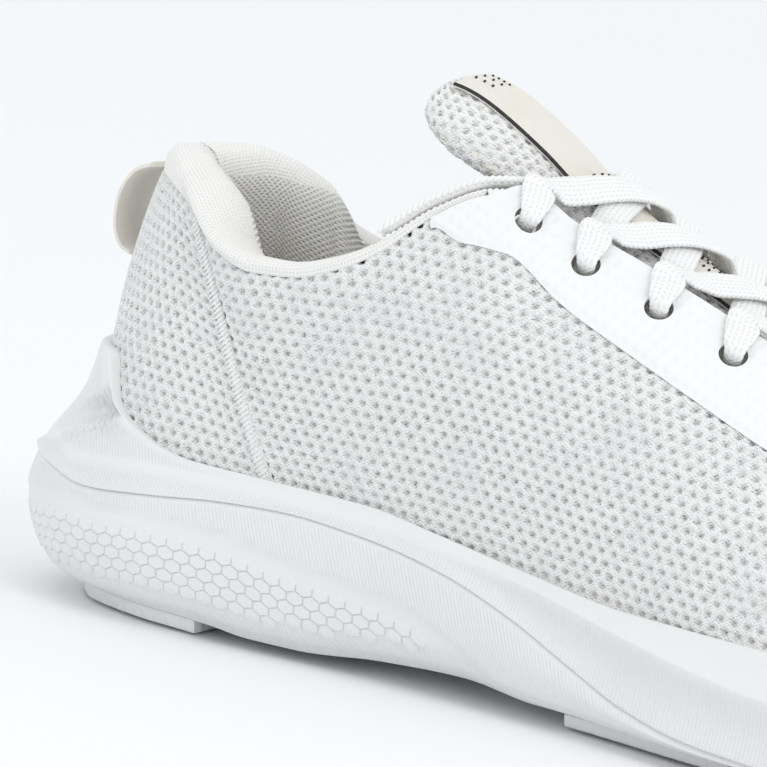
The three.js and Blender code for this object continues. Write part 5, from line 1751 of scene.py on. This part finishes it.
def tongue_frame(a):
    a = np.asarray(a, float)
    low, high = np.maximum(a - 0.002, 0), np.minimum(a + 0.002, 1)
    along = unit(tongue_line(high) - tongue_line(low))
    up = unit(np.stack([along[..., 2], np.zeros_like(a), -along[..., 0]], -1))
    return tongue_line(a), along, up


def on_tongue(a, y, depth):
    crest, _, up = tongue_frame(a)
    radius = tongue_radius(a)
    angle = np.arcsin(np.clip(y / radius, -0.98, 0.98))
    reach = radius - depth
    across = np.zeros_like(crest)
    across[..., 1] = reach * np.sin(angle)
    return crest + up * (reach * np.cos(angle) - radius)[..., None] + across


def tongue_at(x):
    a = np.linspace(0, 1, 800)
    return float(np.interp(-x, -tongue_line(a)[:, 0], a))


def tongue_loop(a, count, start=0.0, end=1.0, shift=0.0, shrink=1.0):
    """Points round the tongue, evenly spaced, from one part of the way round to another."""
    angle = np.linspace(0, 2 * math.pi, 241)
    power = 0.55
    c = np.sign(np.cos(angle)) * np.abs(np.cos(angle)) ** power
    s = np.sign(np.sin(angle)) * np.abs(np.sin(angle)) ** power
    deep = float(tongue_padding(a)) + 1.7
    loop = on_tongue(np.full(241, a), -tongue_half(a) * shrink * c,
                     deep / 2 * (1 - s * shrink))
    length = np.concatenate([[0], np.cumsum(np.linalg.norm(np.diff(loop, axis=0), axis=1))])
    wanted = (np.linspace(start, end, count, endpoint=end - start < 1) + shift) * length[-1]
    wanted = np.mod(wanted, length[-1])
    return np.stack([np.interp(wanted, length, loop[:, n]) for n in range(3)], -1)


def tongue_rows():
    a = np.linspace(0, 1, 1200)
    length = np.concatenate([[0], np.cumsum(np.linalg.norm(np.diff(tongue_line(a), axis=0),
                                                           axis=1))])
    count = round(length[-1] / MESH_ROW)
    return np.interp(np.linspace(0, length[-1], count + 1), length, a)


def make_tongue_cover():
    columns = 34
    rows = []
    places = tongue_rows()
    for line, a in enumerate(places):
        rows.append(tongue_loop(float(a), columns, shift=0.5 * (line % 2) / columns))
    line = len(rows)
    for shrink, ahead in ((0.8, 0.9), (0.45, 1.5), (0.08, 1.7)):
        beyond = tongue_loop(1.0, columns, shift=0.5 * (line % 2) / columns, shrink=shrink)
        rows.append(beyond + tongue_frame(1.0)[1] * ahead)
        line += 1
    points = np.array(rows)
    keep = np.ones(points.shape[:2], bool)
    piece = lattice_piece("tongue_cover", points, keep, wrap=True)
    return press_mesh(piece, depth_mm=0.75, rise_mm=0.25, width=1.1)


tongue_cover = make_tongue_cover()
tongue_pad = soft_copy("tongue_foam", "tongue_padding", 1.5)
follow([tongue_cover, tongue_pad], *inflate("tongue_foam", 4, 0.5),
       weight=lambda p: smooth(128, 112, p[:, 0]))
wear(tongue_cover, "tongue", None, ("tongue_outer", "tongue_lining"))
wear(tongue_pad, "tongue", PADDING, ("tongue_foam",))


# %% [markdown]
# A cream tape lies along the tongue's crest. Its near edge has a dark thread, and short dashes
# of the same thread, which spell nothing, fill three places along it.

# %% Tongue tape
TAPE_HALF = 10.5
tape_centre = track((0, 3), (1, -2))
TAPE_FROM, TAPE_TO = tongue_at(156), tongue_at(84.5)


def tape_point(k, across, height):
    """A point on the tape: k along it, across in mm from its middle, height over its base."""
    a = mix(TAPE_FROM, TAPE_TO, np.asarray(k, float))
    return on_tongue(a, tape_centre(k) + across, -GAP - np.asarray(height, float))


TAPE_ROWS, TAPE_COLUMNS = 110, 25   # along the tape, and across it


def make_tape_piece():
    k = np.linspace(0, 1, TAPE_ROWS)
    t = np.linspace(-1, 1, TAPE_COLUMNS)
    rows = np.stack([tape_point(np.full(TAPE_COLUMNS, s), t * TAPE_HALF, 0.05) for s in k])
    middle = rows[:, TAPE_COLUMNS // 2]
    run = np.concatenate([[0], np.cumsum(np.linalg.norm(np.diff(middle, axis=0), axis=1))])
    uv = np.stack(np.broadcast_arrays(run[:, None], t[None, :] * TAPE_HALF), -1)
    piece = add_piece("tongue_tape", rows, grid_faces(TAPE_ROWS, TAPE_COLUMNS), uv)
    up = tongue_frame(0.5)[2]
    if np.mean([p.normal.dot(Vector(up)) for p in piece.data.polygons]) < 0:
        piece.data.flip_normals()
    thicken(piece, 0.55)
    shade(piece, 50)
    return wear(piece, "tongue", TAPE, ("tongue_label",))


def surface_line(from_k, to_k, across, count=40, height=0.62):
    k = np.linspace(from_k, to_k, count)
    line = tape_point(k, np.full(count, float(across)), height)
    normal = unit(tape_point(k, np.full(count, float(across)), height + 1) - line)
    return line, normal


def make_dashes():
    number = 0
    for from_k, to_k in ((0.08, 0.2), (0.42, 0.5), (0.86, 0.97)):
        for across in (-3.4, 0.2, 3.8):
            number += 1
            line, normal = surface_line(from_k, to_k, across, 12)
            stitch_line(f"tape_dashes_{number}", line, normal, "tongue",
                        1.15 + 0.2 * (number % 3), 1.8, 0.3, 0.15, INK)


tongue_tape = make_tape_piece()
make_dashes()
line, normal = surface_line(0.002, 0.998, -TAPE_HALF + 0.3, 120, 0.6)
wear(tube("tape_edge", line, 0.5, 8, normal, 0.6), "tongue", INK)
print("tongue tape and its marks")


# %% [markdown]
# ## The pull tab
# A folded tape stands off the heel as a loop for a finger. It is a closed strip along a curve.

# %% Pull tab
TAB_LINE = ((17, 88.8), (13.4, 87), (10.8, 83), (10, 78.5), (10.5, 74), (12.4, 70.8),
            (14.7, 69.8))
TAB_ROWS, TAB_COLUMNS = 70, 21   # along the tab, and across each of its faces
TAB_HALF = 8.0                   # mm, half the tab's width
TAB_LOOP = 2 * TAB_COLUMNS       # points round one section


def make_pull_tab():
    line = spline([(x, 0, z) for x, z in TAB_LINE])
    centre = line(np.linspace(0, 1, TAB_ROWS))
    along = unit(np.gradient(centre, axis=0))
    out = np.stack([-along[:, 2], np.zeros(TAB_ROWS), along[:, 0]], -1)
    k = np.linspace(-1, 1, TAB_COLUMNS)
    edge = 0.62 * (1 - 0.45 * np.abs(k) ** 8)
    loops = []
    flat = np.zeros(TAB_COLUMNS)
    for n in range(TAB_ROWS):
        body = centre[n] + np.stack([flat, k * TAB_HALF, flat], -1)
        loops.append(np.concatenate([body + out[n] * edge[:, None],
                                     (body - out[n] * edge[:, None])[::-1]]))
    loops = np.array(loops)
    run = np.concatenate([[0], np.cumsum(np.linalg.norm(np.diff(centre, axis=0), axis=1))])
    around = np.concatenate([k, k[::-1]]) * TAB_HALF
    uv = np.stack(np.broadcast_arrays(run[:, None], around[None, :]), -1)
    faces = list(grid_faces(TAB_ROWS, TAB_LOOP, wrap_columns=True))
    last = (TAB_ROWS - 1) * TAB_LOOP
    faces += [list(range(TAB_LOOP))[::-1], [last + n for n in range(TAB_LOOP)]]
    piece = weld(add_piece("pull_tab", loops, faces, uv, 50), 0.001)
    return wear(piece, "shoe", TAPE, ("heel_pull_tab",))


make_pull_tab()

# %% [markdown]
# ## The lace
# One flat lace in criss-cross lacing. Its path is a list of stations, each with a point, the
# direction across the lace, a width and a thickness; it narrows where it goes through a hole.

# %% Lace route
LACE_WIDTH, LACE_THICK = 7.0, 1.4
HOLE_WIDTH, HOLE_THICK = 3.6, 2.4
OVER = 0.9 + 0.4 + LACE_THICK / 2
UNDER = 2.5 + 0.4 + 0.15 + LACE_THICK / 2
LOW_RISE = GAP + 0.6 + 0.4 + LACE_THICK / 2
HIGH_RISE = LOW_RISE + LACE_THICK + 0.4
BARE_RISE = 0.4 + LACE_THICK / 2
ACROSS = (0.12, 0.25, 0.38, 0.5, 0.62, 0.75, 0.88)
CROSSING_LIFT = 1.0


def throat_direction(e):
    ahead = top_point(e["side"], min(e["q"] + 0.01, Q_THROAT_END - 0.002))
    return unit(ahead - top_point(e["side"], e["q"] - 0.01))


def eyelet_stop(e, inwards, depth, width, thick):
    point = e["centre"] + e["inward"] * inwards - e["normal"] * depth
    return point, throat_direction(e), width, thick


def edge_stop(e, depth, inwards):
    point = e["edge"] - upper_normal(e["side"], e["q"], 1.0) * depth + e["inward"] * inwards
    return point, throat_direction(e), LACE_WIDTH, LACE_THICK


def hole_stop(e):
    return eyelet_stop(e, 0, 0.8, HOLE_WIDTH, HOLE_THICK)


def over_eyestay(e):
    return [eyelet_stop(e, 0.5, -1.9, HOLE_WIDTH + 0.6, 1.9),
            eyelet_stop(e, 2.6, -OVER - 0.35, 5.4, 1.5),
            eyelet_stop(e, 5.4, -OVER - 0.1, 6.6, LACE_THICK), edge_stop(e, -OVER - 0.2, 0.8)]


def under_eyestay(e):
    return [eyelet_stop(e, 0.5, UNDER - 0.2, HOLE_WIDTH + 0.6, 1.7),
            eyelet_stop(e, 3.2, UNDER + 0.4, 5.6, LACE_THICK), edge_stop(e, UNDER + 0.2, 0.3)]


def gap_stops(lateral, medial, start, end, least, lift):
    """Over the gap between the throat edges, and over the tongue where it stands higher."""
    stops = []
    for k in ACROSS:
        a = mix(tongue_at(lateral["edge"][0]), tongue_at(medial["edge"][0]), k)
        crest, along, up = tongue_frame(a)
        radius = float(tongue_radius(a))
        line = mix(start[0], end[0], k) - crest
        height = line @ up + radius
        angle = math.atan2(line[1], height)
        bend = lift * smooth(0, 0.3, k) * (1 - smooth(0.7, 1, k))
        rise = max(least(k), math.hypot(line[1], height) - radius + bend)
        reach = radius + rise
        point = crest + along * (line @ along) + up * (reach * math.cos(angle) - radius)
        point = point + np.array([0, reach * math.sin(angle), 0])
        stops.append((point, -along, LACE_WIDTH, LACE_THICK))
    return stops


def lateral_over(lateral, medial):
    start, end = over_eyestay(lateral), under_eyestay(medial)[::-1]
    least = lambda k: mix(HIGH_RISE, LOW_RISE, smooth(0.78, 0.92, k))
    return [*start, *gap_stops(lateral, medial, start[-1], end[0], least, CROSSING_LIFT), *end]


def medial_over(lateral, medial):
    start, end = under_eyestay(lateral), over_eyestay(medial)[::-1]
    least = lambda k: mix(BARE_RISE, LOW_RISE, smooth(0.08, 0.25, k))
    return [*start, *gap_stops(lateral, medial, start[-1], end[0], least, -CROSSING_LIFT), *end]


def lace_end(side):
    e = EYELETS[side][0]
    stops = []
    for n, (ahead, down) in enumerate(((0.085, 22), (0.07, 22), (0.05, 22), (0.03, 21),
                                       (0.012, 18), (0.003, 13))):
        q = e["q"] + ahead
        turn = smooth(0, 0.03, ahead)
        across = throat_direction(e) * (1 - turn) + e["inward"] * turn
        point = on_upper(side, q, below(side, q, down), 3.3 + 2 + LACE_THICK / 2)
        stops.append((point, across, 3 if n == 0 else 6, 2.2 if n == 0 else LACE_THICK))
    return [*stops, eyelet_stop(e, -0.6, UNDER, HOLE_WIDTH + 0.8, 1.8)]


def lace_route():
    near, far = EYELETS[LATERAL], EYELETS[MEDIAL]
    route = lace_end(LATERAL)
    for n in range(5):
        route.append(hole_stop(near[n] if n % 2 == 0 else far[n]))
        route += lateral_over(near[n], far[n + 1]) if n % 2 == 0 \
            else medial_over(near[n + 1], far[n])[::-1]
    start, end = over_eyestay(near[5]), over_eyestay(far[5])[::-1]
    bar = gap_stops(near[5], far[5], start[-1], end[0], lambda k: BARE_RISE, 0)
    route += [hole_stop(far[5]), *[*start, *bar, *end][::-1]]
    for n in range(5, 0, -1):
        route.append(hole_stop(near[n] if n % 2 == 1 else far[n]))
        route += medial_over(near[n], far[n - 1]) if n % 2 == 1 \
            else lateral_over(near[n - 1], far[n])[::-1]
    return [*route, hole_stop(far[0]), *lace_end(MEDIAL)[::-1]]


def make_lace():
    """A ribbon with rounded, slightly knobbly edges along the route."""
    route = lace_route()
    line = spline([stop[0] for stop in route])
    keys = np.arange(len(route))
    place = np.linspace(0, len(route) - 1, (len(route) - 1) * 12 + 1)
    points = line(place / (len(route) - 1))
    along = unit(np.gradient(points, axis=0))
    across = np.array([stop[1] for stop in route])
    across = unit(np.stack([np.interp(place, keys, across[:, n]) for n in range(3)], -1))
    across = unit(across - along * (along * across).sum(-1, keepdims=True))
    up = np.cross(along, across)
    width = np.interp(place, keys, [stop[2] for stop in route])
    thick = np.interp(place, keys, [stop[3] for stop in route])
    run = np.concatenate([[0], np.cumsum(np.linalg.norm(np.diff(points, axis=0), axis=1))])
    width = width * (1.04 + 0.025 * np.sin(2 * math.pi * run / 1.1))
    angle = np.linspace(0, 2 * math.pi, 24, endpoint=False)
    c = np.sign(np.cos(angle)) * np.abs(np.cos(angle)) ** 0.8
    s = np.sign(np.sin(angle)) * np.abs(np.sin(angle)) ** 0.6
    crown = 1 - 0.22 * np.cos(angle) ** 4
    loops = points[:, None] + across[:, None] * (width[:, None] / 2 * c)[..., None] \
        + up[:, None] * (thick[:, None] / 2 * s * crown)[..., None]
    uv = np.stack(np.broadcast_arrays(run[:, None], (width[:, None] / 2 * c)), -1)
    faces = list(grid_faces(len(points), 24, wrap_columns=True))
    faces += [list(range(24))[::-1], [(len(points) - 1) * 24 + n for n in range(24)]]
    piece = add_piece("lace", loops, faces, uv, 60)
    weld(piece, 0.001)
    print("lace length mm", round(float(run[-1])), "width", LACE_WIDTH)
    return wear(piece, "shoe", LACE_WEAVE, ("shoelace",))


make_lace()


# %% [markdown]
# ## The insole
# The loose insole is foam under a knit cover. It has its own body, which lifts at the heel.

# %% Insole
def insole_rise(x):
    return 1.5 * (1 - smooth(60, 150, x))


def make_insole_cover():
    q = np.linspace(0.0, 1.0, 160)
    edge = {}
    for side in SIDES:
        o = outline_at(side, q)
        x = o[0]
        edge[side] = inset(o, feather_inset(x) + 3.3 + 0.7 + 0.9 + 1.2 + 0.3,
                           footbed_level(x) + 7.1 + 0.4 + insole_rise(x))
    across = np.linspace(0, 1, 25)
    rows = mix(edge[LATERAL][:, None], edge[MEDIAL][:, None], across[None, :, None])
    rows[..., 2] += 0.35 * (2 * np.abs(across - 0.5)) ** 6
    run = np.concatenate([[0], np.cumsum(np.linalg.norm(np.diff(rows[:, 12], axis=0), axis=1))])
    uv = np.stack(np.broadcast_arrays(run[:, None], rows[..., 1]), -1)
    piece = weld(add_piece("insole_cover", rows, grid_faces(160, 25), uv), 0.02, outward=False)
    if piece.data.polygons[2000].normal.z < 0:
        piece.data.flip_normals()
    thicken(piece, 0.5)
    return wear(piece, "insole", KNIT, ("insole_top_cloth",))


make_insole_cover()
insole_pad = wear(soft_copy("insole_foam", "insole_pad", 1.8), "insole",
                  PADDING, ("insole_foam",))

# %% [markdown]
# ## Parts kept from the frame
# The hidden boards and the lace's hidden ends stay as the CAD drew them, with finishes.

# %% Kept parts
for name, finish in (("strobel_board", BOARD), ("heel_counter", BOARD), ("toe_puff", BOARD),
                     ("eyestay_reinforcement", BOARD), ("lace_aglet_lateral", SHEATH),
                     ("lace_aglet_medial", SHEATH)):
    NODES[name].data.materials.clear()
    NODES[name].data.materials.append(finish)

# %% [markdown]
# ## Floor and light
# A pale cool floor runs back to a world of the same tone. One broad soft light stands high on
# the right, towards the toe; the heel side falls into a gentle shade.


# %% Floor and light
def make_floor():
    f = Finish("studio_floor", (0.92, 0.935, 0.945), 0.9, 0.1)
    f.tint(f.noise(900.0), (0.915, 0.93, 0.94), 0.3, 0.7)
    low = float(cad_low.z) - 0.0006
    mesh = bpy.data.meshes.new("floor")
    mesh.from_pydata([(-20, -20, low), (20, -20, low), (20, 20, low), (-20, 20, low)], [],
                     [(0, 1, 2, 3)])
    mesh.materials.append(f.material)
    floor = bpy.data.objects.new("floor", mesh)
    bpy.context.scene.collection.objects.link(floor)


def make_light(name, place, aim, size, watts):
    data = bpy.data.lights.new(name, "AREA")
    data.shape, data.size, data.energy = "DISK", size, watts
    light = bpy.data.objects.new(name, data)
    light.location = place
    light.rotation_euler = (Vector(aim) - Vector(place)).to_track_quat("-Z", "Y").to_euler()
    bpy.context.scene.collection.objects.link(light)


def make_world():
    world = bpy.data.worlds.new("studio")
    world.use_nodes = True
    backdrop = world.node_tree.nodes["Background"]
    backdrop.inputs["Color"].default_value = (0.975, 0.99, 1.0, 1)
    backdrop.inputs["Strength"].default_value = 1.0
    bpy.context.scene.world = world
    bpy.context.scene.view_settings.view_transform = "Standard"


make_floor()
make_world()
make_light("key", (0.75, -0.45, 0.9), (0, 0, 0.05), 0.6, 2.2)
make_light("fill", (-0.6, -1.2, 0.5), (0, 0, 0.05), 1.0, 0.3)
